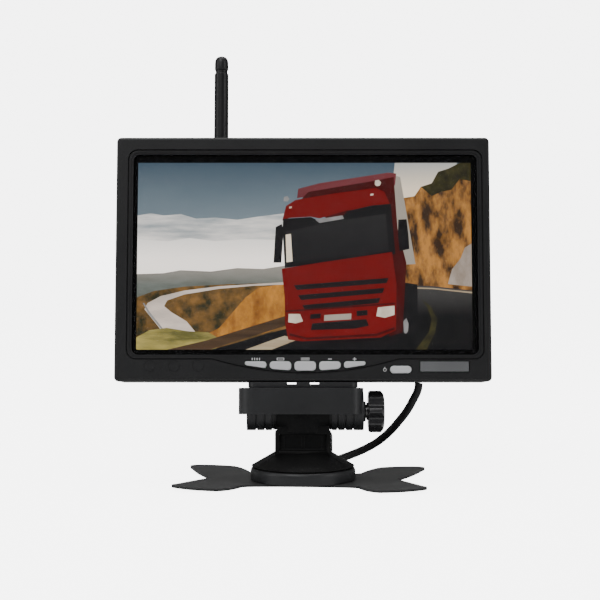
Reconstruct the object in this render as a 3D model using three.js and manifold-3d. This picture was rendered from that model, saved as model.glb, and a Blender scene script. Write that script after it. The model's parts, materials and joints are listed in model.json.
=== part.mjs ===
// Seven inch reversing monitor on a tilting pedestal bracket, with its wireless antenna and power lead.
// Millimetres, +Z up. The origin is the middle of the adhesive foot's underside. The screen faces -Y.

import * as THREE from "three";
import { mergeVertices } from "three/addons/utils/BufferGeometryUtils.js";
import Module from "manifold-3d";

const wasm = await Module();
wasm.setup();

// Fits
const gap = 0.3; // between neighbouring pieces
const seam = 0.3; // visible joint between the two halves of the case

// Foot
const footLength = 115.2;
const footDepth = 75;
const footNotch = 43; // from the middle to each side notch
const footWaist = 17.5; // from the middle to the front and back waist
const footTurn = THREE.MathUtils.degToRad(-3.6);
const padThickness = 0.5;
const plateThickness = 0.7;
const footFlatRadius = 26; // the plate is flat inside this radius and curls up outside it
const footCurl = 1.2; // rise of the plate at the end of the curl
const footCurlReach = 34; // from the flat to the end of the curl
const discRadius = 24.15;
const discHeight = 5.6;
const rivetCircle = 15;
const rivetRadius = 1.2;
const rivetHeadRadius = 2.4;

// Neck
const coneHeight = 6.6;
const columnWidth = 25.6;
const columnDepth = 13;
const hingeHeight = 32.2;
const lugRadius = 9;
const lugWidth = 24;
const bossWidth = 13.8;
const bossReach = 9.2;
const bossChamfer = 2.2;
const bossDepth = 0.5; // from the hinge axis down to the boss's top
const swivelScrewRadius = 2.3;

// Clamp across the hinge
const washerThickness = 0.7;
const earRadius = 8.6;
const earLength = 12.4;
const rightEarExtra = 2.1;
const leftGrooves = [0.6, 4.1, 8]; // from the ear's inner face
const rightGrooves = [2.6, 6.1, 9.7];
const boltRadius = 2.9;
const nutRim = 2.3; // from the bolt to the nut's corners
const nutThickness = 3.6;
const knobRadius = 9.55;
const knobThickness = 7.4;
const knobNeckWall = 1.1;
const knobNeckLength = 0.8;
const knobFlutes = 8;
const knobFluteDepth = 1.7;
const clampWasherRim = 1.7;
const frictionWasherRadius = 7.5;

// Saddle and shoe
const tilt = THREE.MathUtils.degToRad(-6);
const saddleOverhang = 3.7; // past the left ear
const saddleSetback = 0.2; // short of the right ear's end
const saddleCorner = 7;
const saddleDepth = 24;
const saddleBottom = -1.3;
const saddleTop = 10.7;
const shoeLength = 50;
const shoeDepth = 20;
const shoeThickness = 2.2;
const shoeChannelWidth = 4.2;
const shoeChannelDepth = 0.9;
const mountScrewOffset = 19;
const mountScrewY = 5;
const mountScrewRadius = 1.5;
const backingPlateMargin = 7; // past the middle of each mount screw
const backingPlateDepth = 10;

// Case
const caseWidth = 172;
const caseHeight = 112.5;
const caseCorner = 2.8;
const caseFront = -10;
const caseSplit = -2;
const caseBack = 15;
const wall = 2;
const bezelFace = 2.2;
const caseBottom = saddleTop + gap + shoeThickness + gap;
const screenMiddle = 1; // the screen and its keys sit this far right of the case's middle
const lipCorner = 4.5;
const lipDepth = 0.9;
const lipSide = 2.45; // from the window to the lip's edge at each side
const lipEdge = 2.25; // and above and below
const windowWidth = 158.5;
const windowHeight = 92.4;
const windowBottom = 12.2;
const windowCorner = 3;
const glassMargin = 1.75; // hidden behind the bezel at each side
const panelMargin = 2.75;
const trayMargin = 0.75;
const glassThickness = 1.1;
const panelThickness = 4.5;
const trayThickness = 0.6;
const postRadius = 2.2;
const caseScrewRadius = 0.9;

// Keys
const keyCount = 5;
const keyWidth = 9.8;
const keyPitch = 11.25;
const keyTop = 9.15;
const keyLowest = 4.8;
const keyArch = 0.00353; // rise of the keys' lower edge per square millimetre from the middle
const keyProud = 0.6;
const keyTravel = 0.7;
const powerKeyX = 44.45;
const powerKeyWidth = 9.75;
const powerKeyHeight = 3.4;
const powerKeyZ = 5.4;
const infraredX = 64.35;
const infraredWidth = 22.1;
const infraredHeight = 4.7;
const infraredZ = 6.8;
const boardThickness = 1.2;
const switchHeight = 1.7;
const switchHalf = 2.2;

// Antenna
const antennaX = -39.8;
const jackZ = 85;
const jackRadius = 3.15;
const jackReach = 7;
const antennaPinReach = 5; // from the jack's end to the fold pin
const antennaPinRadius = 0.9;
const rodRootRadius = 3.75;
const rodTipRadius = 3.35;
const rodSeamZ = 164.2;
const rodTipZ = 172.9;
const jackNutRim = 1.85; // from the thread to the nut's corners
const knuckleWall = 1.75;
const jackFlangeRim = 1.45;

// Power lead
const leadRadius = 1.9;
const leadX = 54;
const leadY = 8.5;
const hankMiddle = 1;
const hankStart = 74;
const hankRun = 57;
const hankBend = 11.4;
const hankBase = 0.9;
const hankLayers = 3;
const tieThickness = 0.6;
const tieWidth = 8;
const plugRadius = 5.5;
const plugStart = 106;
const leadRoute = [
  [54.0, 10.15, 47.4],
  [54.0, 9.8, 44.4],
  [53.6, 10.0, 41.4],
  [51.4, 11.5, 36.3],
  [48.8, 13.5, 31.3],
  [45.5, 16.5, 26.4],
  [41.7, 20.5, 21.3],
  [36.5, 25.5, 15.9],
  [33.0, 28.4, 13.2],
  [28.4, 32.0, 10.3],
  [23.9, 36.0, 7.9],
  [20.4, 40.3, 6.0],
  [17.2, 45.3, 4.2],
  [14.8, 50.8, 3.1],
  [13.2, 57.2, 2.8],
  [12.4, 64.4, 2.8],
];

// Colours and finishes
const finish = (color, roughness, metalness = 0) =>
  new THREE.MeshStandardMaterial({ color, roughness, metalness });
const blackPlastic = finish(0x1c1d1f, 0.55);
const glossPlastic = finish(0x111214, 0.25);
const softBlack = finish(0x161616, 0.75);
const silverKeys = finish(0xe4e6e8, 0.35);
const screenGlass = finish(0x0c1016, 0.08);
const infraredLens = finish(0x8a8d90, 0.3);
const bareSteel = finish(0xb4b6b8, 0.35, 1);
const brassPlate = finish(0xc7a052, 0.3, 1);
const greenBoard = finish(0x1f5a36, 0.5);
const adhesive = finish(0x2b2b2d, 0.9);
const tieFabric = finish(0x101010, 0.95);

// Meshes to solids and back

function toSolid(geometry) {
  const bare = geometry.clone();
  bare.deleteAttribute("normal");
  bare.deleteAttribute("uv");
  const merged = mergeVertices(bare, 1e-4);
  const vertProperties = new Float32Array(merged.attributes.position.array);
  const triVerts = new Uint32Array(merged.index.array);
  const solid = new wasm.Manifold(new wasm.Mesh({ numProp: 3, vertProperties, triVerts }));
  if (solid.volume() > 0) {
    return solid;
  }
  const flipped = triVerts.slice().reverse();
  return new wasm.Manifold(new wasm.Mesh({ numProp: 3, vertProperties, triVerts: flipped }));
}

function toGeometry(solid) {
  const mesh = solid.getMesh();
  const geometry = new THREE.BufferGeometry();
  geometry.setAttribute("position", new THREE.BufferAttribute(mesh.vertProperties, 3));
  geometry.setIndex(new THREE.BufferAttribute(mesh.triVerts, 1));
  geometry.computeVertexNormals();
  return geometry;
}

function cut(body, ...tools) {
  return toGeometry(tools.reduce((solid, tool) => solid.subtract(toSolid(tool)), toSolid(body)));
}

function join(body, ...others) {
  return toGeometry(others.reduce((solid, other) => solid.add(toSolid(other)), toSolid(body)));
}

function common(body, other) {
  return toGeometry(toSolid(body).intersect(toSolid(other)));
}

// Basic shapes

function box([x0, x1], [y0, y1], [z0, z1]) {
  const geometry = new THREE.BoxGeometry(x1 - x0, y1 - y0, z1 - z0);
  return geometry.translate((x0 + x1) / 2, (y0 + y1) / 2, (z0 + z1) / 2);
}

// A profile of [radius, height] points, from the axis round the outside and back to the axis.
function turned(profile, segments = 32) {
  const points = profile.map(([radius, height]) => new THREE.Vector2(radius, height));
  return new THREE.LatheGeometry(points, segments).rotateX(Math.PI / 2);
}

function turnedAlongX(profile, segments = 32) {
  return turned(profile, segments).rotateY(Math.PI / 2);
}

function turnedAlongY(profile, segments = 32) {
  return turned(profile, segments).rotateX(-Math.PI / 2);
}

function rod(radius, from, to) {
  return [[0, from], [radius, from], [radius, to], [0, to]];
}

function hexagon(radius) {
  const corners = [...Array(6).keys()].map((side) => (side * Math.PI) / 3);
  return new THREE.Shape(
    corners.map((angle) => new THREE.Vector2(radius * Math.cos(angle), radius * Math.sin(angle))),
  );
}

function roundedRectangle(width, height, corner) {
  const x = width / 2 - corner;
  const y = height / 2 - corner;
  const shape = new THREE.Shape();
  shape.absarc(x, y, corner, 0, Math.PI / 2);
  shape.absarc(-x, y, corner, Math.PI / 2, Math.PI);
  shape.absarc(-x, -y, corner, Math.PI, 1.5 * Math.PI);
  shape.absarc(x, -y, corner, 1.5 * Math.PI, 2 * Math.PI);
  shape.closePath();
  return shape;
}

// An outline in plan, raised from z0 to z1.
function raised(shape, z0, z1, curveSegments = 6) {
  const options = { depth: z1 - z0, bevelEnabled: false, curveSegments };
  return new THREE.ExtrudeGeometry(shape, options).translate(0, 0, z0);
}

// An outline seen from the front, in X and Z, running from y0 back to y1.
function facing(shape, y0, y1, curveSegments = 6) {
  return raised(shape, -y1, -y0, curveSegments).rotateX(Math.PI / 2);
}

// An outline seen from the side, in Y and Z, running from x0 to x1.
function sideways(shape, x0, x1, curveSegments = 6) {
  const turn = new THREE.Matrix4().makeBasis(
    new THREE.Vector3(0, 1, 0),
    new THREE.Vector3(0, 0, 1),
    new THREE.Vector3(1, 0, 0),
  );
  return raised(shape, x0, x1, curveSegments).applyMatrix4(turn);
}

// The kit's three groups: the turned foot, the upright neck and the tilted head.
const kit = new THREE.Group();
const foot = new THREE.Group();
foot.rotation.z = footTurn;
const head = new THREE.Group();
head.position.z = hingeHeight;
head.rotation.x = tilt;
kit.add(foot, head);

function add(group, name, material, geometry) {
  const mesh = new THREE.Mesh(geometry, material);
  mesh.name = name;
  group.add(mesh);
}

// Foot: four rounded lobes with a notch on each side, a flexible plate on an adhesive pad.
function footOutline() {
  const shape = new THREE.Shape();
  const tipX = footLength / 2;
  const edgeY = footDepth / 2;
  shape.moveTo(footNotch, 0);
  const quadrants = [[1, 1], [-1, 1], [-1, -1], [1, -1]];
  for (const [signX, signY] of quadrants) {
    const lobe = [
      [footNotch + 7, 0.33 * edgeY, tipX - 2.6, 0.72 * edgeY],
      [tipX + 0.6, 0.85 * edgeY, tipX - 4, 0.92 * edgeY],
      [tipX - 12, edgeY + 1.2, tipX - 22, 0.985 * edgeY],
      [tipX - 27.6, 0.88 * edgeY, tipX - 31.5, 0.55 * edgeY],
      [tipX - 34, footWaist, 0, footWaist],
    ];
    const forward = signX * signY > 0;
    const starts = [[footNotch, 0], ...lobe.map(([, , x, y]) => [x, y])];
    const steps = forward
      ? lobe.map(([cx, cy, x, y]) => [cx, cy, x, y])
      : lobe.map(([cx, cy], index) => [cx, cy, ...starts[index]]).reverse();
    for (const [cx, cy, x, y] of steps) {
      shape.quadraticCurveTo(signX * cx, signY * cy, signX * x, signY * y);
    }
  }
  return shape;
}

const plateTop = padThickness + plateThickness;
const discTop = plateTop + discHeight;
const swivelHeadRadius = 4.5;
const swivelRecess = 3;
const rivetPlaces = [0, 1, 2].map((index) => {
  const angle = (index * 2 * Math.PI) / 3;
  return [rivetCircle * Math.cos(angle), rivetCircle * Math.sin(angle)];
});

function atRivets(profile, segments = 12) {
  return rivetPlaces.map(([x, y]) => turned(profile, segments).translate(x, y, 0));
}

// A shallow dish from z0 to z1 that the lobed outline is cut from, so that the lobes curl up.
function footSheet(z0, z1) {
  const curl = [0, 0.25, 0.5, 0.75, 1, 1.3].map((step) => [
    footFlatRadius + footCurlReach * step,
    footCurl * step ** 2,
  ]);
  const under = curl.map(([radius, rise]) => [radius, z0 + rise]);
  const over = curl.map(([radius, rise]) => [radius, z1 + rise]).reverse();
  const dish = turned([[0, z0], ...under, ...over, [0, z1]], 36);
  return common(raised(footOutline(), z0 - 1, z1 + 5, 5), dish);
}

add(
  foot,
  "foot_pad",
  adhesive,
  cut(footSheet(0, padThickness), ...atRivets(rod(rivetHeadRadius + gap, -1, plateTop + 1), 16)),
);
add(
  foot,
  "foot_plate",
  blackPlastic,
  cut(footSheet(padThickness, plateTop), ...atRivets(rod(rivetRadius + gap, -1, plateTop + 1))),
);
add(
  foot,
  "base_disc",
  blackPlastic,
  cut(
    turned(
      [
        [0, plateTop],
        [discRadius - 0.4, plateTop],
        [discRadius, plateTop + 0.5],
        [discRadius, discTop - 0.9],
        [discRadius - 0.7, discTop],
        [0, discTop],
      ],
      56,
    ),
    turned(rod(swivelHeadRadius + 2, plateTop - 1, plateTop + swivelRecess), 24),
    turned(rod(swivelScrewRadius + gap, 0, discTop + 1), 20),
    ...atRivets(rod(rivetRadius + gap, plateTop - 1, discTop - 1.4)),
  ),
);

rivetPlaces.forEach(([x, y], index) => {
  const rivet = turned(
    [
      [0, 0.1],
      [rivetHeadRadius, 0.1],
      [rivetHeadRadius, padThickness - 0.05],
      [rivetRadius, padThickness - 0.05],
      [rivetRadius, discTop - 2],
      [0, discTop - 1.8],
    ],
    12,
  );
  add(foot, `foot_rivet_${index + 1}`, bareSteel, rivet.translate(x, y, 0));
});

// Neck: a cone on the disc, a column with sunken webs, and the lug that the clamp bolt passes.
const neckBottom = discTop + gap;
const coneTop = neckBottom + coneHeight;
const coneRadius = columnWidth / 2 + 0.3;
const swivelHole = 22;
const webDepth = 1.5;
const flangeWidth = 1.9;
const bossBottom = hingeHeight - earRadius;
const bossTop = hingeHeight - bossDepth;
const boltHole = boltRadius + gap + 0.1;

function neckShape() {
  const cone = turned(
    [
      [0, neckBottom],
      [discRadius - 0.9, neckBottom],
      [discRadius - 0.5, neckBottom + 0.5],
      [discRadius - 1.6, neckBottom + 1.1],
      [coneRadius, coneTop],
      [0, coneTop],
    ],
    64,
  );
  const column = box(
    [-columnWidth / 2, columnWidth / 2],
    [-columnDepth / 2, columnDepth / 2],
    [neckBottom + 2, hingeHeight - earRadius - 2 * gap],
  );
  const stem = box(
    [-lugWidth / 2, lugWidth / 2],
    [-columnDepth / 2, columnDepth / 2],
    [bossBottom - 2, hingeHeight - 4],
  );
  const lug = turnedAlongX(rod(lugRadius, -lugWidth / 2, lugWidth / 2), 40);
  const boss = new THREE.Shape();
  boss.moveTo(-bossWidth / 2, 0);
  boss.lineTo(-bossWidth / 2, -bossReach + bossChamfer);
  boss.lineTo(-bossWidth / 6, -bossReach);
  boss.lineTo(bossWidth / 6, -bossReach);
  boss.lineTo(bossWidth / 2, -bossReach + bossChamfer);
  boss.lineTo(bossWidth / 2, 0);
  boss.closePath();
  const webX = [-columnWidth / 2 + flangeWidth, columnWidth / 2 - flangeWidth];
  const webZ = [coneTop + 1.2, bossBottom - 1];
  return cut(
    join(cone, column, stem, lug.translate(0, 0, hingeHeight), raised(boss, bossBottom, bossTop)),
    box(webX, [-columnDepth, webDepth - columnDepth / 2], webZ),
    box(webX, [columnDepth / 2 - webDepth, columnDepth], webZ),
    turnedAlongX(rod(boltHole, -lugWidth, lugWidth), 24).translate(0, 0, hingeHeight),
    turned(rod(swivelScrewRadius + gap, 0, swivelHole), 20),
  );
}

add(kit, "neck", blackPlastic, neckShape());

const swivelHeadTop = plateTop + swivelRecess - gap - washerThickness - gap;
add(
  kit,
  "swivel_screw",
  bareSteel,
  turned(
    [
      [0, plateTop + gap],
      [swivelHeadRadius, plateTop + gap],
      [swivelHeadRadius, swivelHeadTop],
      [swivelScrewRadius, swivelHeadTop],
      [swivelScrewRadius, swivelHole - 2],
      [0, swivelHole - 0.8],
    ],
    20,
  ),
);

function washer(inner, outer, from, to) {
  return [[inner, from], [outer, from], [outer, to], [inner, to], [inner, from]];
}

add(
  kit,
  "swivel_washer",
  bareSteel,
  turned(
    washer(
      swivelScrewRadius + gap,
      swivelHeadRadius + 1,
      plateTop + swivelRecess - gap - washerThickness,
      plateTop + swivelRecess - gap,
    ),
    24,
  ),
);

// Tilt head: two ribbed ears under a saddle with rounded ends.
const earInner = lugWidth / 2 + 2 * gap + washerThickness;
const rightEarEnd = earInner + earLength + rightEarExtra;
const leftEarEnd = -earInner - earLength;
const saddleLeft = leftEarEnd - saddleOverhang;
const saddleRight = rightEarEnd - saddleSetback;
const saddleSweep = bossReach + 1; // hollow under the saddle that clears the lug and its boss

function ear(from, to, grooves) {
  const grooveWidth = 0.8;
  const grooveDepth = 0.7;
  const profile = [[0, from], [earRadius, from]];
  for (const place of grooves) {
    profile.push(
      [earRadius, place - grooveWidth / 2],
      [earRadius - grooveDepth, place - grooveWidth / 4],
      [earRadius - grooveDepth, place + grooveWidth / 4],
      [earRadius, place + grooveWidth / 2],
    );
  }
  profile.push([earRadius, to], [0, to]);
  return turnedAlongX(profile, 32);
}

const nutRadius = boltRadius + nutRim;
const nutPocket = leftEarEnd + nutThickness + 2 * gap;
const saddleSolid = raised(
  roundedRectangle(saddleRight - saddleLeft, saddleDepth, saddleCorner),
  saddleBottom,
  saddleTop,
  5,
).translate((saddleLeft + saddleRight) / 2, 0, 0);
const mountScrewPlaces = [-mountScrewOffset, mountScrewOffset];
const mountScrewBottom = 5.6;

function atMountScrews(from, to) {
  const hole = rod(mountScrewRadius + gap, from, to);
  return mountScrewPlaces.map((x) => turned(hole, 12).translate(x, mountScrewY, 0));
}

add(
  head,
  "tilt_head",
  blackPlastic,
  cut(
    join(
      cut(
        saddleSolid,
        turnedAlongX(rod(saddleSweep, -earInner, earInner), 40),
        box([-earInner, earInner], [-saddleSweep, saddleSweep], [saddleBottom - 1, 0]),
      ),
      ear(leftEarEnd, -earInner, leftGrooves.map((place) => -earInner - place).reverse()),
      ear(earInner, rightEarEnd, rightGrooves.map((place) => earInner + place)),
    ),
    turnedAlongX(rod(boltHole, 2 * saddleLeft, 2 * saddleRight), 24),
    sideways(hexagon(nutRadius + gap), leftEarEnd - 4, nutPocket),
    ...atMountScrews(mountScrewBottom - gap, saddleTop + 1),
  ),
);

const frictionWasher = washer(boltHole, frictionWasherRadius, 0, washerThickness);
add(
  head,
  "friction_washer_left",
  softBlack,
  turnedAlongX(frictionWasher, 24).translate(-lugWidth / 2 - gap - washerThickness, 0, 0),
);
add(
  head,
  "friction_washer_right",
  softBlack,
  turnedAlongX(frictionWasher, 24).translate(lugWidth / 2 + gap, 0, 0),
);

// Clamp: the knob is moulded on the bolt, and the bolt pulls on a nut held in the left ear.
const nutInnerFace = nutPocket - gap;
add(
  head,
  "clamp_nut",
  bareSteel,
  cut(
    sideways(hexagon(nutRadius), nutInnerFace - nutThickness, nutInnerFace),
    turnedAlongX(rod(boltRadius + gap, leftEarEnd - 4, 0), 24),
  ),
);

const clampWasherEnd = rightEarEnd + gap + washerThickness;
const knobNeckStart = clampWasherEnd + gap;
const knobStart = knobNeckStart + knobNeckLength;
const knobEnd = knobStart + knobThickness;
const boltEnd = knobEnd - 2.4;
add(
  head,
  "clamp_washer",
  bareSteel,
  turnedAlongX(
    washer(boltRadius + gap, boltRadius + clampWasherRim, rightEarEnd + gap, clampWasherEnd),
    24,
  ),
);
add(
  head,
  "clamp_bolt",
  bareSteel,
  turnedAlongX(
    [
      [0, leftEarEnd + 0.6],
      [boltRadius - 0.6, leftEarEnd + 0.6],
      [boltRadius, leftEarEnd + 1.2],
      [boltRadius, boltEnd],
      [0, boltEnd],
    ],
    24,
  ),
);

function knobShape() {
  const outline = new THREE.Shape();
  const points = knobFlutes * 10;
  const swing = knobFluteDepth / 2;
  for (let index = 0; index < points; index += 1) {
    const angle = (index * 2 * Math.PI) / points;
    const radius = knobRadius - swing + swing * Math.cos(knobFlutes * angle);
    const place = [radius * Math.cos(angle), radius * Math.sin(angle)];
    if (index === 0) {
      outline.moveTo(...place);
    } else {
      outline.lineTo(...place);
    }
  }
  outline.closePath();
  const dome = turnedAlongX(
    [
      [0, knobStart],
      [knobRadius - 0.7, knobStart],
      [knobRadius + 0.1, knobStart + 0.8],
      [knobRadius + 0.1, knobEnd - 1.6],
      [knobRadius - 1.4, knobEnd - 0.4],
      [knobRadius - 3.2, knobEnd],
      [0, knobEnd],
    ],
    48,
  );
  const neck = turnedAlongX(rod(boltRadius + knobNeckWall, knobNeckStart, knobStart + 1), 24);
  return cut(
    join(common(sideways(outline, knobStart, knobEnd), dome), neck),
    turnedAlongX(rod(boltRadius + gap, 0, boltEnd + gap), 24),
  );
}

add(head, "clamp_knob", blackPlastic, knobShape());

// Shoe between the saddle and the case, and the backing plate and screws that hold it from inside.
const shoeBottom = saddleTop + gap;
const shoeTop = shoeBottom + shoeThickness;
const backingPlateBottom = caseBottom + wall + gap;
const backingPlateThickness = 1.6;
const backingPlateTop = backingPlateBottom + backingPlateThickness;
const shoeChannels = [-5.2, 5.3];

add(
  head,
  "mount_shoe",
  blackPlastic,
  cut(
    raised(roundedRectangle(shoeLength, shoeDepth, 4), shoeBottom, shoeTop, 5),
    ...shoeChannels.map((x) =>
      box(
        [x - shoeChannelWidth / 2, x + shoeChannelWidth / 2],
        [-shoeDepth, shoeDepth],
        [shoeTop - shoeChannelDepth, shoeTop + 1],
      ),
    ),
    ...atMountScrews(0, shoeTop + 1),
  ),
);
add(
  head,
  "mount_backing_plate",
  bareSteel,
  cut(
    box(
      [-mountScrewOffset - backingPlateMargin, mountScrewOffset + backingPlateMargin],
      [mountScrewY - backingPlateDepth / 2, mountScrewY + backingPlateDepth / 2],
      [backingPlateBottom, backingPlateTop],
    ),
    ...atMountScrews(0, backingPlateTop + 1),
  ),
);

["left", "right"].forEach((side, index) => {
  const headBottom = backingPlateTop + gap;
  const screw = turned(
    [
      [0, mountScrewBottom],
      [mountScrewRadius, mountScrewBottom + 0.8],
      [mountScrewRadius, headBottom],
      [3, headBottom],
      [3, headBottom + 1.2],
      [2.2, headBottom + 2],
      [0, headBottom + 2],
    ],
    12,
  );
  add(
    head,
    `mount_screw_${side}`,
    bareSteel,
    screw.translate(mountScrewPlaces[index], mountScrewY, 0),
  );
});

// Case: a front bezel with a sunken lip round the window, and a rear cover. Heights inside the case are
// measured up from its lower edge.
const up = (height) => caseBottom + height;
const caseMiddle = up(caseHeight / 2);
const innerWidth = caseWidth - 2 * wall;
const innerHeight = caseHeight - 2 * wall;
const rearFront = caseSplit + seam;
const postInset = wall + 3.5;
const postLow = 5;
const postHigh = caseHeight - wall - postRadius - 0.1;
const postPlaces = [
  ["upper_left", -caseWidth / 2 + postInset, postHigh],
  ["upper_right", caseWidth / 2 - postInset, postHigh],
  ["lower_left", -caseWidth / 2 + postInset, postLow],
  ["lower_right", caseWidth / 2 - postInset, postLow],
];

function atPosts(radius, from, to, segments = 16) {
  return postPlaces.map(([, x, height]) =>
    turnedAlongY(rod(radius, from, to), segments).translate(x, 0, up(height)),
  );
}

function caseBlock(from, to, bevel, bevelAtFront) {
  const options = {
    depth: to - from - bevel,
    bevelEnabled: true,
    bevelSize: bevel,
    bevelOffset: -bevel,
    bevelThickness: bevel,
    bevelSegments: 2,
    curveSegments: 6,
  };
  const block = new THREE.ExtrudeGeometry(
    roundedRectangle(caseWidth, caseHeight, caseCorner),
    options,
  ).rotateX(Math.PI / 2);
  const bevelled = block.translate(0, bevelAtFront ? to : to - bevel, caseMiddle);
  const trim = bevelAtFront ? [to, to + 50] : [from - 50, from];
  return cut(bevelled, box([-caseWidth, caseWidth], trim, [-caseHeight, 2 * caseHeight]));
}

// A key's outline: straight top and sides, and a lower edge on the keys' common arch.
function keyOutline(index, margin) {
  const middle = screenMiddle + (index - (keyCount - 1) / 2) * keyPitch;
  const left = middle - keyWidth / 2 - margin;
  const right = middle + keyWidth / 2 + margin;
  const shape = new THREE.Shape();
  shape.moveTo(left, up(keyTop + margin));
  const steps = 6;
  for (let step = 0; step <= steps; step += 1) {
    const x = left + ((right - left) * step) / steps;
    const rise = keyArch * (x - screenMiddle) ** 2;
    shape.lineTo(x, up(keyLowest + rise - margin));
  }
  shape.lineTo(right, up(keyTop + margin));
  shape.closePath();
  return shape;
}

function rectangleAt(x, z, width, height, corner) {
  return (from, to) => facing(roundedRectangle(width, height, corner), from, to).translate(x, 0, z);
}

const bezelInside = caseFront + bezelFace;
const keyIndexes = [...Array(keyCount).keys()];
const windowMiddle = up(windowBottom + windowHeight / 2);
const lipWidth = windowWidth + 2 * lipSide;
const lipHeight = windowHeight + 2 * lipEdge;
const powerSlot = rectangleAt(
  powerKeyX,
  up(powerKeyZ),
  powerKeyWidth + 2 * gap,
  powerKeyHeight + 2 * gap,
  1.5,
);
const infraredSlot = rectangleAt(
  infraredX,
  up(infraredZ),
  infraredWidth + 2 * gap,
  infraredHeight + 2 * gap,
  0.5,
);
const lip = rectangleAt(screenMiddle, windowMiddle, lipWidth, lipHeight, lipCorner);
const frontWindow = rectangleAt(screenMiddle, windowMiddle, windowWidth, windowHeight, windowCorner);
const pocket = rectangleAt(0, caseMiddle, innerWidth, innerHeight, 1);

add(
  head,
  "front_bezel",
  blackPlastic,
  cut(
    join(
      cut(
        caseBlock(caseFront, caseSplit, 1.2, true),
        lip(caseFront - 1, caseFront + lipDepth),
        frontWindow(caseFront - 1, 0),
        pocket(bezelInside, 0),
        powerSlot(caseFront - 1, 0),
        infraredSlot(caseFront - 1, 0),
        ...keyIndexes.map((index) => facing(keyOutline(index, gap), caseFront - 1, 0)),
      ),
      ...atPosts(postRadius, bezelInside - 0.5, 1),
    ),
    ...atPosts(caseScrewRadius + gap, bezelInside + 0.5, 2),
  ),
);

// Rear cover, with its vents, speaker slots, screw posts and the holes for the antenna and the lead.
const rearInside = caseBack - wall;
const rearPostRadius = 3.4;
const screwHeadRadius = 1.9;
const screwHeadSeat = caseBack - 4;
const ventRows = 8;
const ventLeft = 4;
const ventLowest = 74;
const ventPitch = 4;
const ventLength = 46;
const ventHeight = 1.8;
const speakerX = 50;
const speakerHeight = 40;
const speakerRadius = 14;
const speakerSlotPitch = 4.6;
const grommetRadius = 3.3;

function ventSlots() {
  const slots = [];
  for (let row = 0; row < ventRows; row += 1) {
    const bottom = up(ventLowest + row * ventPitch);
    for (const left of [ventLeft, ventLeft + ventLength / 2 + 1]) {
      slots.push(
        box([left, left + ventLength / 2 - 1], [rearInside - 1, caseBack + 1], [bottom, bottom + ventHeight]),
      );
    }
  }
  return slots;
}

function speakerSlots() {
  return [-2, -1, 0, 1, 2].map((row) => {
    const offset = row * speakerSlotPitch;
    const half = Math.sqrt(speakerRadius ** 2 - offset ** 2) - 2.5;
    const middle = up(speakerHeight) + offset;
    return box(
      [speakerX - half, speakerX + half],
      [rearInside - 1, caseBack + 1],
      [middle - 0.9, middle + 0.9],
    );
  });
}

add(
  head,
  "rear_cover",
  blackPlastic,
  cut(
    join(
      cut(
        caseBlock(rearFront, caseBack, 2.4, false),
        pocket(rearFront - 1, rearInside),
      ),
      ...atPosts(rearPostRadius, 1 + gap, rearInside + 0.5, 20),
    ),
    ...atPosts(caseScrewRadius + gap, 0, caseBack + 1),
    ...atPosts(screwHeadRadius + gap, screwHeadSeat, caseBack + 1),
    ...ventSlots(),
    ...speakerSlots(),
    ...atMountScrews(0, backingPlateBottom + 1),
    turnedAlongY(rod(jackRadius + gap, 0, caseBack + 1), 24).translate(antennaX, 0, jackZ),
    turned(rod(grommetRadius + gap, 0, up(wall + 1)), 20).translate(leadX, leadY, 0),
  ),
);

for (const [place, x, height] of postPlaces) {
  const screw = turnedAlongY(
    [
      [0, bezelInside + 1.2],
      [caseScrewRadius, bezelInside + 2],
      [caseScrewRadius, screwHeadSeat + gap],
      [screwHeadRadius, screwHeadSeat + gap],
      [screwHeadRadius, screwHeadSeat + 1.5],
      [0, screwHeadSeat + 1.9],
    ],
    12,
  );
  add(head, `case_screw_${place}`, bareSteel, screw.translate(x, 0, up(height)));
}

// Screen: cover glass, display panel and the metal tray behind it.
const glassFront = bezelInside + gap;
const panelFront = glassFront + glassThickness + gap;
const trayFront = panelFront + panelThickness + gap;
const glassBottom = windowBottom - 1.2;
const glassTop = windowBottom + windowHeight + 0.6;

function behindWindow(margin, from, thickness, bottom, top) {
  const half = windowWidth / 2 + margin;
  return box([screenMiddle - half, screenMiddle + half], [from, from + thickness], [up(bottom), up(top)]);
}

add(
  head,
  "screen_glass",
  screenGlass,
  behindWindow(glassMargin, glassFront, glassThickness, glassBottom, glassTop),
);
add(
  head,
  "display_panel",
  glossPlastic,
  behindWindow(panelMargin, panelFront, panelThickness, glassBottom - 0.6, glassTop),
);
add(
  head,
  "panel_tray",
  bareSteel,
  behindWindow(trayMargin, trayFront, trayThickness, glassBottom + 1, glassTop - 1),
);

// Main board with the wireless receiver under its shielding can, and the speaker on the rear wall.
const mainBoardX = [-52, 32];
const mainBoardLow = 34;
const mainBoardHigh = 98;
const mainBoardFront = 3.5;
const mainBoardBack = mainBoardFront + boardThickness;
add(
  head,
  "main_board",
  greenBoard,
  box(mainBoardX, [mainBoardFront, mainBoardBack], [up(mainBoardLow), up(mainBoardHigh)]),
);
add(
  head,
  "receiver_module",
  bareSteel,
  box(
    [mainBoardX[0] + 6, mainBoardX[0] + 40],
    [mainBoardBack + gap, mainBoardBack + 3.4],
    [up(mainBoardLow + 6), up(mainBoardLow + 32)],
  ),
);
add(
  head,
  "speaker",
  softBlack,
  turnedAlongY(
    [
      [0, rearInside - 5.4],
      [5, rearInside - 5.4],
      [5, rearInside - 3.4],
      [speakerRadius - 1, rearInside - 2],
      [speakerRadius, rearInside - gap],
      [0, rearInside - gap],
    ],
    32,
  ).translate(speakerX, 0, up(speakerHeight)),
);

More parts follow.
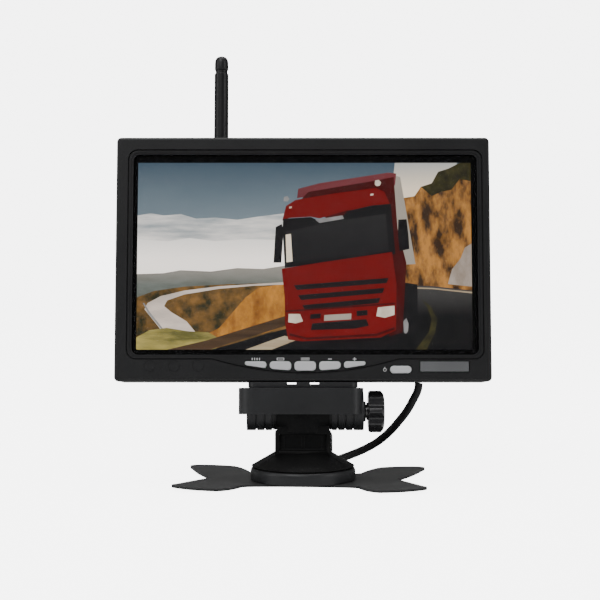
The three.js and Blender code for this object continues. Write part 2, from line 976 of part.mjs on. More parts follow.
// Keys, the switches they press, the remote control's receiver and the board that carries them.
const keyFront = caseFront - keyProud;
const keyBack = bezelInside + 0.4;
const switchFront = keyBack + keyTravel + 0.15;
const keyBoardFront = switchFront + switchHeight + gap;
const keyBoardTop = glassBottom - 0.6 - 2 * gap;
keyIndexes.forEach((index) => {
  const middle = screenMiddle + (index - (keyCount - 1) / 2) * keyPitch;
  add(head, `menu_key_${index + 1}`, silverKeys, facing(keyOutline(index, 0), keyFront, keyBack));
  add(
    head,
    `key_switch_${index + 1}`,
    softBlack,
    box(
      [middle - switchHalf, middle + switchHalf],
      [switchFront, switchFront + switchHeight],
      [up(keyTop - 3.55), up(keyTop - 0.15)],
    ),
  );
});
add(
  head,
  "power_key",
  silverKeys,
  rectangleAt(powerKeyX, up(powerKeyZ), powerKeyWidth, powerKeyHeight, 1.3)(keyFront, keyBack),
);
add(
  head,
  "power_switch",
  softBlack,
  box(
    [powerKeyX - switchHalf, powerKeyX + switchHalf],
    [switchFront, switchFront + switchHeight],
    [up(powerKeyZ - 1.7), up(powerKeyZ + 1.7)],
  ),
);
add(
  head,
  "infrared_window",
  infraredLens,
  rectangleAt(infraredX, up(infraredZ), infraredWidth, infraredHeight, 0.4)(
    caseFront + 0.1,
    bezelInside,
  ),
);
add(
  head,
  "infrared_receiver",
  softBlack,
  box(
    [infraredX - 3, infraredX + 3],
    [switchFront - 0.6, switchFront + switchHeight],
    [up(4), up(9)],
  ),
);
add(
  head,
  "key_board",
  greenBoard,
  box(
    [screenMiddle - 30, infraredX + 11],
    [keyBoardFront, keyBoardFront + boardThickness],
    [up(wall + 0.8), up(keyBoardTop)],
  ),
);

// Antenna: a threaded jack through the rear wall, its nut, a knuckle that swivels on the jack, and a
// hinged rod with a tip cap.
const jackEnd = caseBack + jackReach;
const antennaPinY = jackEnd + antennaPinReach;
const jackNutFrom = caseBack + gap;
const jackNutTo = jackNutFrom + 2.3;
const knuckleFrom = jackNutTo + gap;
const knuckleSocketEnd = jackEnd + gap;
const collarEnd = knuckleSocketEnd + 0.6;
const forkRadius = 4.2;
const forkHalf = 3.9;
const tongueHalf = 1.4;
const tongueRadius = 3.2;
const rodShoulder = 4.7;

function atJack(geometry) {
  return geometry.translate(antennaX, 0, jackZ);
}

function atPin(geometry) {
  return geometry.translate(antennaX, antennaPinY, jackZ);
}

add(
  head,
  "antenna_jack",
  brassPlate,
  atJack(
    turnedAlongY(
      [
        [0, rearInside - 2],
        [jackRadius + jackFlangeRim, rearInside - 2],
        [jackRadius + jackFlangeRim, rearInside - gap],
        [jackRadius, rearInside - gap],
        [jackRadius, jackEnd],
        [0, jackEnd],
      ],
      24,
    ),
  ),
);
add(
  head,
  "antenna_jack_nut",
  brassPlate,
  cut(
    atJack(raised(hexagon(jackRadius + jackNutRim), -jackNutTo, -jackNutFrom).rotateX(Math.PI / 2)),
    atJack(turnedAlongY(rod(jackRadius + gap, 0, jackEnd + 5), 24)),
  ),
);
add(
  head,
  "antenna_knuckle",
  softBlack,
  cut(
    join(
      atJack(turnedAlongY(rod(jackRadius + knuckleWall, knuckleFrom, collarEnd), 28)),
      atJack(box([-forkHalf, forkHalf], [collarEnd - 0.5, antennaPinY], [0.2 - forkRadius, forkRadius - 0.2])),
      atPin(turnedAlongX(rod(forkRadius, -forkHalf, forkHalf), 28)),
    ),
    atJack(turnedAlongY(rod(jackRadius + gap, 0, knuckleSocketEnd), 24)),
    atPin(
      box(
        [-tongueHalf - gap, tongueHalf + gap],
        [-tongueRadius - gap, 3 * forkRadius],
        [-3 * forkRadius, 3 * forkRadius],
      ),
    ),
    atPin(turnedAlongX(rod(antennaPinRadius + gap, -2 * forkHalf, 2 * forkHalf), 16)),
  ),
);
add(
  head,
  "antenna_pin",
  bareSteel,
  atPin(turnedAlongX(rod(antennaPinRadius, -forkHalf, forkHalf), 16)),
);

const spigotRadius = 2.4;
const seamNeck = 1.7;
add(
  head,
  "antenna_rod",
  softBlack,
  cut(
    join(
      turned(
        [
          [0, jackZ + rodShoulder],
          [rodRootRadius - 0.5, jackZ + rodShoulder],
          [rodRootRadius, jackZ + rodShoulder + 0.5],
          [rodTipRadius + 0.05, rodSeamZ],
          [rodTipRadius - 0.35, rodSeamZ],
          [rodTipRadius - 0.35, rodSeamZ + seamNeck - gap],
          [spigotRadius, rodSeamZ + seamNeck - gap],
          [spigotRadius, rodSeamZ + seamNeck + 3],
          [0, rodSeamZ + seamNeck + 3],
        ],
        28,
      ).translate(antennaX, antennaPinY, 0),
      atPin(box([-tongueHalf, tongueHalf], [-tongueRadius, tongueRadius], [0, rodShoulder + 1])),
      atPin(turnedAlongX(rod(tongueRadius, -tongueHalf, tongueHalf), 24)),
    ),
    atPin(turnedAlongX(rod(antennaPinRadius + gap, -forkHalf, forkHalf), 16)),
  ),
);
add(
  head,
  "antenna_cap",
  softBlack,
  turned(
    [
      [0, rodSeamZ + seamNeck + 3 + gap],
      [spigotRadius + gap, rodSeamZ + seamNeck + 3 + gap],
      [spigotRadius + gap, rodSeamZ + seamNeck],
      [rodTipRadius, rodSeamZ + seamNeck],
      [rodTipRadius - 0.05, rodTipZ - 3],
      [rodTipRadius - 0.6, rodTipZ - 1.2],
      [rodTipRadius - 1.7, rodTipZ - 0.25],
      [0, rodTipZ],
    ],
    28,
  ).translate(antennaX, antennaPinY, 0),
);

// Lead: a grommet in the case's lower wall, the free lead, its spare length folded into a hank behind the
// neck, the tie round the hank, and the round connector that lies inside it.
add(
  head,
  "lead_grommet",
  softBlack,
  turned(
    [
      [leadRadius + gap, caseBottom],
      [grommetRadius, caseBottom],
      [grommetRadius, up(wall + gap)],
      [grommetRadius + 0.9, up(wall + gap)],
      [grommetRadius + 0.9, up(wall + 1.8)],
      [leadRadius + gap, up(wall + 1.8)],
      [leadRadius + gap, caseBottom],
    ],
    20,
  ).translate(leadX, leadY, 0),
);

function leadTube() {
  const path = new THREE.CatmullRomCurve3(
    leadRoute.map(([x, y, z]) => new THREE.Vector3(x, y, z)),
    false,
    "centripetal",
  );
  const section = new THREE.Shape();
  const sides = 8;
  for (let side = 0; side < sides; side += 1) {
    const angle = (side * 2 * Math.PI) / sides;
    const place = [leadRadius * Math.cos(angle), leadRadius * Math.sin(angle)];
    if (side === 0) {
      section.moveTo(...place);
    } else {
      section.lineTo(...place);
    }
  }
  section.closePath();
  return toGeometry(
    toSolid(new THREE.ExtrudeGeometry(section, { steps: 36, extrudePath: path, bevelEnabled: false })),
  );
}

function stadium(radius) {
  const shape = new THREE.Shape();
  const end = hankStart + hankRun;
  shape.absarc(hankMiddle, end, radius, 0, Math.PI);
  shape.absarc(hankMiddle, hankStart, radius, Math.PI, 2 * Math.PI);
  shape.closePath();
  return shape;
}

add(kit, "power_lead", softBlack, leadTube());

const hankTop = hankBase + hankLayers * 2 * leadRadius;
add(
  kit,
  "lead_hank",
  softBlack,
  cut(
    raised(stadium(hankBend + leadRadius), hankBase, hankTop, 12),
    raised(stadium(hankBend - leadRadius), hankBase - 1, hankTop + 1, 12),
  ),
);

const tieMiddle = hankStart + 12;
const tieSpan = [tieMiddle - tieWidth / 2, tieMiddle + tieWidth / 2];
const tieHalf = hankBend + leadRadius + gap;
add(
  kit,
  "lead_tie",
  tieFabric,
  cut(
    box(
      [hankMiddle - tieHalf - tieThickness, hankMiddle + tieHalf + tieThickness],
      tieSpan,
      [0, hankTop + gap + tieThickness],
    ),
    box([hankMiddle - tieHalf, hankMiddle + tieHalf], [0, 200], [tieThickness, hankTop + gap]),
  ),
);

add(
  kit,
  "plug_body",
  softBlack,
  turnedAlongY(
    [
      [0, plugStart],
      [2.8, plugStart],
      [plugRadius - 1.2, plugStart + 9],
      [plugRadius - 1.2, plugStart + 27],
      [plugRadius - 2, plugStart + 27],
      [plugRadius - 2, plugStart + 21],
      [0, plugStart + 21],
    ],
    24,
  ).translate(hankMiddle, 0, plugRadius),
);
add(
  kit,
  "plug_collar",
  bareSteel,
  turnedAlongY(washer(plugRadius - 0.9, plugRadius, plugStart + 11, plugStart + 28), 28).translate(
    hankMiddle,
    0,
    plugRadius,
  ),
);

export default kit;
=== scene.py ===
# A seven inch reversing monitor on a tilting pedestal, with its antenna and its power lead.
import json
import math

import bpy
from mathutils import Matrix, Vector


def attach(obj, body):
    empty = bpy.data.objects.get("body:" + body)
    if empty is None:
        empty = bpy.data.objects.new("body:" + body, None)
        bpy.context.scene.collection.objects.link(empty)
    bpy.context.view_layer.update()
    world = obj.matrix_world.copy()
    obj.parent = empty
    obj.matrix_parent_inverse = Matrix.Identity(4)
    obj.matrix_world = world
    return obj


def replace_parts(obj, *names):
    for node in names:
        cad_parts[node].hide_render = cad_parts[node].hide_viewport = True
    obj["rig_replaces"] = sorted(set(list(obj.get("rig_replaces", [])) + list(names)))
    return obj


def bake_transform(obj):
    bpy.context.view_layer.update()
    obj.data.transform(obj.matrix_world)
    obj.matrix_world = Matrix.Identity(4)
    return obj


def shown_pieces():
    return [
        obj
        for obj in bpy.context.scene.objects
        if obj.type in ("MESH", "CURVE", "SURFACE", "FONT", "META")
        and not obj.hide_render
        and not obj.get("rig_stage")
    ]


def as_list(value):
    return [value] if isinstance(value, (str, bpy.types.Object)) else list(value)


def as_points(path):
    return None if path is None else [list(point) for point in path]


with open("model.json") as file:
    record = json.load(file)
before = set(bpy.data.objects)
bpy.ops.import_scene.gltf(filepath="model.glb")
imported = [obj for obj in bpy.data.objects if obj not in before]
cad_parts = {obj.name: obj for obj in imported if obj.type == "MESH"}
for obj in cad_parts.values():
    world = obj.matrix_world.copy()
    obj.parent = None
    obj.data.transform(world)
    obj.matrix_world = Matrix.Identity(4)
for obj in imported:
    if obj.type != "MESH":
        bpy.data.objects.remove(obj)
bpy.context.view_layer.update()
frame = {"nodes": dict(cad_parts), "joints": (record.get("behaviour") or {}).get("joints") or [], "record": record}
MM = 0.001

# ---------------------------------------------------------------------------------------------------
# Camera: a long lens, level with the lower third of the screen, looking straight at the monitor.
# The lens shift only places the object in the frame as a product picture has it.
# ---------------------------------------------------------------------------------------------------
CAMERA_DISTANCE = 695 * MM
CAMERA_HEIGHT = 102.2 * MM

bpy.ops.object.select_all(action="DESELECT")
bpy.ops.object.camera_add(location=(0, -CAMERA_DISTANCE, CAMERA_HEIGHT), rotation=(math.radians(90), 0, 0))
camera = bpy.context.object
camera.data.sensor_width = 36
camera.data.lens = 90.7
camera.data.shift_x = -0.005
camera.data.shift_y = -0.068
camera.data.clip_start = 0.05
bpy.context.scene.camera = camera

# ---------------------------------------------------------------------------------------------------
# Power lead: round black PVC sheath over two cores and a video wire. It leaves the grommet in the case's lower
# wall, falls to the floor behind the neck, and its spare length is folded into a hank behind the foot. The upper
# piece and the lower one meet behind the neck.
# The sheath's finish is built from effects that all the mouldings share: spark grain, a painted highlight on the
# edges, and a film of dust on what faces up.
# ---------------------------------------------------------------------------------------------------
LEAD_DIAMETER = 3.8 * MM
LEAD_ROUTE = [
    (54.0, 10.15, 47.4), (54.0, 9.8, 44.4), (53.6, 10.0, 41.4), (51.4, 11.5, 36.3),
    (48.8, 13.5, 31.3), (45.5, 16.5, 26.4), (41.7, 20.5, 21.3), (36.5, 25.5, 15.9),
    (33.0, 28.4, 13.2), (28.4, 32.0, 10.3), (23.9, 36.0, 7.9), (20.4, 40.3, 6.0),
    (17.2, 45.3, 4.2), (14.8, 50.8, 3.1), (13.2, 57.2, 2.8), (12.4, 64.4, 2.8),
]
LEAD_MEETING = 9  # the route's point where the two pieces of the lead meet
HANK_MIDDLE = 1.0
HANK_NEAR = 74.0
HANK_RUN = 57.0
HANK_BEND = 11.4
HANK_FLOOR = 2.8
HANK_LAYER = 3.8
PLUG_ENTRY = 107.0
PLUG_AXIS = 5.5


def hank_turn(layer):
    """One turn of the hank: up the right run, round the far bend, back down the left run and round."""
    base = HANK_FLOOR + layer * HANK_LAYER
    far = HANK_NEAR + HANK_RUN
    steps = 6
    points = [(HANK_MIDDLE + HANK_BEND, HANK_NEAR + HANK_RUN * step / steps, base) for step in range(steps)]
    for step in range(7):
        angle = math.pi * step / 6
        points.append((HANK_MIDDLE + HANK_BEND * math.cos(angle), far + HANK_BEND * math.sin(angle), base))
    for step in range(1, steps):
        share = step / steps
        points.append((HANK_MIDDLE - HANK_BEND, far - HANK_RUN * share, base + HANK_LAYER * share))
    for step in range(7):
        angle = math.pi + math.pi * step / 6
        height = base + HANK_LAYER
        points.append((HANK_MIDDLE + HANK_BEND * math.cos(angle), HANK_NEAR + HANK_BEND * math.sin(angle),
                       height))
    return points[:-1]


top_layer = HANK_FLOOR + 2 * HANK_LAYER
tail = []
for step in range(9):
    share = step / 8
    ease = (1 - math.cos(math.pi * share)) / 2
    tail.append((
        HANK_MIDDLE + HANK_BEND * (1 - ease),
        HANK_NEAR + 1 + (PLUG_ENTRY - HANK_NEAR - 1) * share,
        top_layer + (PLUG_AXIS - top_layer) * ease,
    ))
upper_route = LEAD_ROUTE[1:LEAD_MEETING + 1]
lower_route = LEAD_ROUTE[LEAD_MEETING:] + hank_turn(0) + hank_turn(1) + tail


def deselect():
    if bpy.context.object and bpy.context.object.mode != "OBJECT":
        bpy.ops.object.mode_set(mode="OBJECT")
    bpy.ops.object.select_all(action="DESELECT")


def route_curve(name, route):
    """A smooth curve through a route in millimetres."""
    deselect()
    bpy.ops.curve.primitive_bezier_curve_add(location=(0, 0, 0))
    curve = bpy.context.object
    curve.name = name
    curve.data.resolution_u = 5
    spline = curve.data.splines[0]
    spline.bezier_points.add(len(route) - 2)
    for point, place in zip(spline.bezier_points, route):
        point.co = Vector(place) * MM
        point.handle_left_type = "AUTO"
        point.handle_right_type = "AUTO"
    return curve


def route_points(route):
    """The points that a smooth curve through the route follows, in metres."""
    curve = route_curve("route", route)
    bpy.ops.object.convert(target="MESH")
    points = [vertex.co.copy() for vertex in curve.data.vertices]
    bpy.ops.object.delete()
    return points


def seal():
    """Merge the doubled corners of the active piece and turn its faces outward."""
    bpy.ops.object.mode_set(mode="EDIT")
    bpy.ops.mesh.select_all(action="SELECT")
    bpy.ops.mesh.remove_doubles(threshold=1e-6)
    bpy.ops.mesh.normals_make_consistent(inside=False)
    bpy.ops.object.mode_set(mode="OBJECT")


def lead_tube(name, route):
    tube = route_curve(name, route)
    tube.data.bevel_depth = LEAD_DIAMETER / 2
    tube.data.bevel_resolution = 5
    tube.data.use_fill_caps = True
    bpy.ops.object.convert(target="MESH")
    seal()
    bpy.ops.object.shade_smooth_by_angle(angle=math.radians(50))
    return tube


def new_group(name, inputs, outputs):
    group = bpy.data.node_groups.new(name, "ShaderNodeTree")
    for label, default in inputs:
        socket = group.interface.new_socket(label, in_out="INPUT", socket_type="NodeSocketFloat")
        socket.default_value = default
    for label in outputs:
        group.interface.new_socket(label, in_out="OUTPUT", socket_type="NodeSocketFloat")
    return group, group.nodes.new("NodeGroupInput"), group.nodes.new("NodeGroupOutput")


def node(tree, kind, **values):
    made = tree.nodes.new(kind)
    for key, value in values.items():
        if key in made.inputs:
            made.inputs[key].default_value = value
        else:
            setattr(made, key, value)
    return made


def set_inputs(made, values):
    for label, value in values.items():
        made.inputs[label].default_value = value


def connect(tree, source, target):
    tree.links.new(source, target)


def math_step(tree, operation, first, second=0.5, clamp=False):
    step = node(tree, "ShaderNodeMath", operation=operation, use_clamp=clamp)
    for index, value in enumerate((first, second)):
        if isinstance(value, (int, float)):
            step.inputs[index].default_value = value
        else:
            connect(tree, value, step.inputs[index])
    return step.outputs[0]


def noise(tree, vector, scale, detail=3.0, roughness=0.5):
    made = node(tree, "ShaderNodeTexNoise", Detail=detail, Roughness=roughness)
    connect(tree, vector, made.inputs["Vector"])
    if isinstance(scale, (int, float)):
        made.inputs["Scale"].default_value = scale
    else:
        connect(tree, scale, made.inputs["Scale"])
    return made.outputs["Fac"]


mould_grain, grain_in, grain_out = new_group("mould_grain", [("Scale", 2500.0)], ["Height", "Tone"])
grain_place = node(mould_grain, "ShaderNodeTexCoord").outputs["Object"]
fine_grain = noise(mould_grain, grain_place, grain_in.outputs["Scale"], detail=2)
slow_tone = noise(mould_grain, grain_place, 38.0, detail=3)
connect(mould_grain, fine_grain, grain_out.inputs["Height"])
connect(mould_grain, slow_tone, grain_out.inputs["Tone"])

# Painted edge light: a mask of the rounded edges, broken up by noise. The mouldings paint it paler as a painted
# highlight, and the keys paint it darker as painted shade.
painted_edge_light, edge_light_in, edge_light_out = new_group("painted_edge_light", [("Amount", 1.0)], ["Mask"])
rounded = node(painted_edge_light, "ShaderNodeBevel", samples=4, Radius=0.35 * MM)
true_normal = node(painted_edge_light, "ShaderNodeNewGeometry").outputs["Normal"]
alike = node(painted_edge_light, "ShaderNodeVectorMath", operation="DOT_PRODUCT")
connect(painted_edge_light, rounded.outputs["Normal"], alike.inputs[0])
connect(painted_edge_light, true_normal, alike.inputs[1])
turned_away = math_step(painted_edge_light, "SUBTRACT", 1.0, alike.outputs["Value"])
patchy = noise(painted_edge_light, node(painted_edge_light, "ShaderNodeTexCoord").outputs["Object"], 420.0, detail=4)
broken = math_step(painted_edge_light, "MULTIPLY", turned_away, patchy)
scaled = math_step(painted_edge_light, "MULTIPLY", broken, 7.0)
connect(painted_edge_light, math_step(painted_edge_light, "MULTIPLY", scaled, edge_light_in.outputs["Amount"], clamp=True),
        edge_light_out.inputs["Mask"])

dust_film, dust_in, dust_out = new_group("dust_film", [("Amount", 0.1)], ["Mask"])
face_way = node(dust_film, "ShaderNodeSeparateXYZ")
connect(dust_film, node(dust_film, "ShaderNodeNewGeometry").outputs["Normal"], face_way.inputs[0])
upward = math_step(dust_film, "MAXIMUM", face_way.outputs["Z"], 0.0)
settled = noise(dust_film, node(dust_film, "ShaderNodeTexCoord").outputs["Object"], 90.0, detail=5)
drift = math_step(dust_film, "MULTIPLY", upward, settled)
connect(dust_film, math_step(dust_film, "MULTIPLY", drift, dust_in.outputs["Amount"], clamp=True),
        dust_out.inputs["Mask"])


def place_group(tree, group, **values):
    made = tree.nodes.new("ShaderNodeGroup")
    made.node_tree = group
    for key, value in values.items():
        made.inputs[key].default_value = value
    return made


def mix_colour(tree, factor, first, second, blend="MIX"):
    mix = node(tree, "ShaderNodeMix", data_type="RGBA", blend_type=blend)
    for index, value in ((0, factor), (6, first), (7, second)):
        if isinstance(value, (int, float, tuple)):
            mix.inputs[index].default_value = value
        else:
            connect(tree, value, mix.inputs[index])
    return mix.outputs[2]


def plain_material(name):
    material = bpy.data.materials.new(name)
    material.use_nodes = True
    return material, material.node_tree, material.node_tree.nodes["Principled BSDF"]


def moulded(name, colour, roughness, grain=2500.0, depth=0.02, edge_highlight=0.35, dust=0.06, coat=0.0, shine=0.5):
    """A moulded plastic or rubber: grain in the bump and gloss, a painted highlight on the edges, a little dust on
    top.
    """
    material, tree, shader = plain_material(name)
    surface = place_group(tree, mould_grain, Scale=grain)
    edge_lit = place_group(tree, painted_edge_light, Amount=edge_highlight)
    dusty = place_group(tree, dust_film, Amount=dust)
    deep = tuple(channel * 0.78 for channel in colour)
    pale = tuple(min(1.0, channel * 1.25) for channel in colour)
    body = mix_colour(tree, surface.outputs["Tone"], (*deep, 1), (*pale, 1))
    # The edges are mixed towards a paler colour: a painted highlight.
    highlight_tone = tuple(min(1.0, channel * 2.6 + 0.02) for channel in colour)
    highlighted_body = mix_colour(tree, edge_lit.outputs["Mask"], body, (*highlight_tone, 1))
    connect(tree, mix_colour(tree, dusty.outputs["Mask"], highlighted_body, (0.32, 0.31, 0.29, 1)),
            shader.inputs["Base Color"])
    gloss = math_step(tree, "MULTIPLY_ADD", surface.outputs["Tone"], 0.16)
    gloss.node.inputs[2].default_value = roughness - 0.08
    connect(tree, gloss, shader.inputs["Roughness"])
    bump = node(tree, "ShaderNodeBump", Strength=0.35, Distance=depth * MM)
    connect(tree, surface.outputs["Height"], bump.inputs["Height"])
    connect(tree, bump.outputs["Normal"], shader.inputs["Normal"])
    set_inputs(shader, {"Coat Weight": coat, "Specular IOR Level": shine, "Coat Roughness": 0.2})
    return material


def metal(name, colour, roughness, grain=900.0, depth=0.004):
    """A plated or bare metal with a faint uneven polish."""
    material, tree, shader = plain_material(name)
    surface = place_group(tree, mould_grain, Scale=grain)
    dull = tuple(channel * 0.8 for channel in colour)
    connect(tree, mix_colour(tree, surface.outputs["Tone"], (*dull, 1), (*colour, 1)),
            shader.inputs["Base Color"])
    gloss = math_step(tree, "MULTIPLY_ADD", surface.outputs["Tone"], 0.2)
    gloss.node.inputs[2].default_value = roughness - 0.1
    connect(tree, gloss, shader.inputs["Roughness"])
    bump = node(tree, "ShaderNodeBump", Strength=0.3, Distance=depth * MM)
    connect(tree, surface.outputs["Height"], bump.inputs["Height"])
    connect(tree, bump.outputs["Normal"], shader.inputs["Normal"])
    shader.inputs["Metallic"].default_value = 1.0
    return material


sheath = moulded("lead_sheath", (0.007, 0.007, 0.008), 0.5, grain=1800, depth=0.015, edge_highlight=0.0, dust=0.05)
lead_upper = lead_tube("power_lead_upper", upper_route)
lead_lower = lead_tube("power_lead_lower", lower_route)
meeting = Vector(LEAD_ROUTE[LEAD_MEETING]) * MM
exit_point = Vector(LEAD_ROUTE[1]) * MM
for piece, body, node_name in ((lead_upper, "head", "power_lead"), (lead_lower, "foot", "lead_hank")):
    piece.data.materials.append(sheath)
    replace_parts(piece, node_name)
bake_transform(lead_upper)
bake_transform(lead_lower)

# ---------------------------------------------------------------------------------------------------
# Lead tie: a hook and loop band, sewn from two black tapes and wrapped once round the hank, with its
# free end lying over itself on top.
# ---------------------------------------------------------------------------------------------------
def activate(piece):
    deselect()
    bpy.context.view_layer.objects.active = piece
    piece.select_set(True)


def joined(pieces, name):
    """Several pieces made one, which keeps the first one's place."""
    activate(pieces[0])
    for piece in pieces:
        piece.select_set(True)
    if len(pieces) > 1:
        bpy.ops.object.join()
    pieces[0].name = name
    return pieces[0]


def middle_of(span):
    return (span[0] + span[1]) / 2


def grown(span, margin):
    return span[0] - margin, span[1] + margin


def runs_along(axis):
    def test(points):
        first, last = points
        return all((abs(first[way] - last[way]) > 0.01) == (way == axis) for way in range(3))
    return test


def lies_at(axis, place):
    return lambda points: all(abs(point[axis] - place) < 0.02 for point in points)


def pick(piece, kind, test):
    """Open a piece for editing, with only the faces, edges or corners selected that pass a test in mm."""
    activate(piece)
    bpy.ops.object.mode_set(mode="EDIT")
    bpy.ops.mesh.select_mode(type=kind)
    bpy.ops.mesh.select_all(action="DESELECT")
    bpy.ops.object.mode_set(mode="OBJECT")
    mesh = piece.data
    for item in {"VERT": mesh.vertices, "EDGE": mesh.edges, "FACE": mesh.polygons}[kind]:
        corners = [item.index] if kind == "VERT" else item.vertices
        item.select = test([mesh.vertices[corner].co / MM for corner in corners])
    bpy.ops.object.mode_set(mode="EDIT")


def slab(name, x, y, z, corner=0, along=1, steps=5):
    """A block between low and high places in millimetres, its four edges along one axis rounded."""
    deselect()
    bpy.ops.mesh.primitive_cube_add(size=1)
    block = bpy.context.object
    block.name = name
    block.location = [(low + high) / 2 * MM for low, high in (x, y, z)]
    block.scale = [(high - low) * MM for low, high in (x, y, z)]
    bpy.ops.object.transform_apply()
    if corner:
        pick(block, "EDGE", runs_along(along))
        bpy.ops.mesh.bevel(offset=corner * MM, segments=steps, affect="EDGES")
        bpy.ops.object.mode_set(mode="OBJECT")
    return block


def carve(piece, *tools, operation="DIFFERENCE"):
    """Cut the tools out of a piece, or weld them on, and clear the tools away."""
    tool = joined(tools, "tool")
    activate(piece)
    change = piece.modifiers.new("carve", "BOOLEAN")
    change.operation = operation
    change.solver = "EXACT"
    change.object = tool
    bpy.ops.object.modifier_apply(modifier=change.name)
    bpy.data.objects.remove(tool)
    return piece


def soften(piece, width, steps=2, angle=38):
    """Round every sharp edge, as a mould or a tumbler leaves it."""
    activate(piece)
    change = piece.modifiers.new("soften", "BEVEL")
    change.width = width * MM
    change.segments = steps
    change.limit_method = "ANGLE"
    change.angle_limit = math.radians(angle)
    bpy.ops.object.modifier_apply(modifier=change.name)
    return piece


def fit(piece, body, slot, finish, *nodes, place=None, angle=40):
    """Set a finished piece in its place, smooth it, and hang it on its body for its CAD nodes."""
    activate(piece)
    if place:
        piece.matrix_world = place
        bpy.ops.object.transform_apply()
    seal()
    bpy.ops.object.shade_smooth_by_angle(angle=math.radians(angle))
    even = piece.modifiers.new("even_faces", "WEIGHTED_NORMAL")
    even.keep_sharp = True
    bpy.ops.object.modifier_apply(modifier=even.name)
    if finish:
        piece.data.materials.clear()
        piece.data.materials.append(finish)
    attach(piece, body)
    if nodes:
        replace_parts(piece, *nodes)
    return piece


def box_mm(node_name, place=Matrix.Identity(4)):
    """A CAD node's (low, high) spans in millimetres, along the axes of a place."""
    back = place.inverted()
    corners = [(back @ vertex.co) / MM for vertex in frame["nodes"][node_name].data.vertices]
    return [(min(point[axis] for point in corners),
             max(point[axis] for point in corners)) for axis in range(3)]


def woven(name, colour, pitch):
    """A tape of two crossing threads, darker in its hollows."""
    material, tree, shader = plain_material(name)
    place = node(tree, "ShaderNodeTexCoord").outputs["Object"]
    threads = []
    for direction in ("Y", "X"):
        wave = node(tree, "ShaderNodeTexWave", bands_direction=direction, Scale=1 / (pitch * MM) / 3.1)
        wave.inputs["Distortion"].default_value = 0.6
        connect(tree, place, wave.inputs["Vector"])
        threads.append(wave.outputs["Fac"])
    crossing = math_step(tree, "MULTIPLY", *threads)
    deep = tuple(channel * 0.4 for channel in colour)
    connect(tree, mix_colour(tree, crossing, (*deep, 1), (*colour, 1)), shader.inputs["Base Color"])
    bump = node(tree, "ShaderNodeBump", Strength=0.7, Distance=0.15 * MM)
    connect(tree, crossing, bump.inputs["Height"])
    connect(tree, bump.outputs["Normal"], shader.inputs["Normal"])
    set_inputs(shader, {"Roughness": 0.9, "Sheen Weight": 0.3})
    return material


tie_x, tie_y, tie_z = box_mm("lead_tie")
TAPE = 0.6
tie = slab("hook_and_loop_tie", tie_x, tie_y, tie_z, corner=2.2)
tie_hollow = [(low + TAPE, high - TAPE) for low, high in (tie_x, tie_z)]
carve(tie, slab("tie_hollow", tie_hollow[0], (tie_y[0] - 1, tie_y[1] + 1), tie_hollow[1], corner=1.7))
free_end = slab("tie_end", (tie_x[0] + 6, tie_x[1] - 5), (tie_y[0] + 0.3, tie_y[1] - 0.3),
                (tie_z[1] - TAPE - 0.4, tie_z[1] - 0.05), corner=1.5, along=2)
fit(soften(free_end, 0.1), "foot", "tie_fabric", woven("tie_loop_tape", (0.03, 0.03, 0.032), 0.7))
tie_tape = woven("tie_hook_tape", (0.018, 0.018, 0.019), 0.5)
fit(soften(tie, 0.12), "foot", "tie_fabric", tie_tape, "lead_tie")

# ---------------------------------------------------------------------------------------------------
# Plug: the round four pin connector on the lead's end. A ribbed PVC boot moulded on the lead, and a
# nickel plated collar with a knurled band, which screws onto the vehicle's harness.
# ---------------------------------------------------------------------------------------------------
def drawn(name, corners):
    """A line drawn from corner to corner, in millimetres, left open for editing with all of it selected."""
    deselect()
    bpy.ops.mesh.primitive_plane_add(size=MM)
    piece = bpy.context.object
    piece.name = name
    bpy.ops.object.mode_set(mode="EDIT")
    bpy.ops.mesh.select_mode(type="VERT")
    bpy.ops.mesh.merge(type="CENTER")
    places = [Vector(corner) * MM for corner in corners]
    bpy.ops.transform.translate(value=places[0])
    for here, there in zip(places, places[1:]):
        bpy.ops.mesh.extrude_vertices_move(TRANSFORM_OT_translate={"value": there - here})
    bpy.ops.mesh.select_all(action="SELECT")
    return piece


def turned(name, profile, place=(0, 0, 0), axis=2, steps=48):
    """A turned shape: a profile of radius and height in millimetres, spun about an axis."""
    piece = drawn(name, [(radius, 0, height) for radius, height in profile])
    bpy.ops.mesh.spin(steps=steps, angle=2 * math.pi, center=(0, 0, 0), axis=(0, 0, 1))
    seal()
    quarter = math.pi / 2
    piece.rotation_euler = ((0, quarter, 0), (-quarter, 0, 0), (0, 0, 0))[axis]
    piece.location = Vector(place) * MM
    bpy.ops.object.transform_apply()
    return piece


def ribs(start, count, pitch, crest, root):
    """The profile of a row of rounded ribs between two radii."""
    points = []
    for rib in range(count):
        base = start + rib * pitch
        points += [(root, base), (crest, base + 0.3 * pitch), (crest, base + 0.6 * pitch),
                   (root, base + 0.9 * pitch)]
    return points


plug_x, plug_y = box_mm("plug_body")[:2]
collar_y = box_mm("plug_collar")[1]
plug_axis = (sum(plug_x) / 2, 0, sum(box_mm("plug_collar")[2]) / 2)
plug_start, plug_end = plug_y
boot_profile = [(0, plug_start), (2.4, plug_start), (2.8, plug_start + 0.6)]
boot_profile += ribs(plug_start + 1.6, 4, 1.9, 3.5, 3.0)
boot_profile += [(4.1, plug_start + 9.6), (4.3, plug_start + 10.4), (4.3, plug_end), (3.5, plug_end),
                 (3.5, plug_end - 6), (0, plug_end - 6)]
plug_boot = turned("plug_boot", boot_profile, plug_axis, axis=1)
plug_rubber = moulded("plug_rubber", (0.015, 0.015, 0.016), 0.48, grain=1500, edge_highlight=0.1, dust=0.05)
fit(plug_boot, "foot", "lead_sheath", plug_rubber, "plug_body")
low, high = collar_y
collar = turned("plug_collar_shell", [
    (4.62, low), (5.2, low), (5.5, low + 0.4), (5.5, low + 7), (5.2, low + 7.4), (5.2, low + 8),
    (5.5, low + 8.4), (5.5, high - 0.4), (5.2, high), (4.62, high), (4.62, low),
], plug_axis, axis=1)
knurls = []
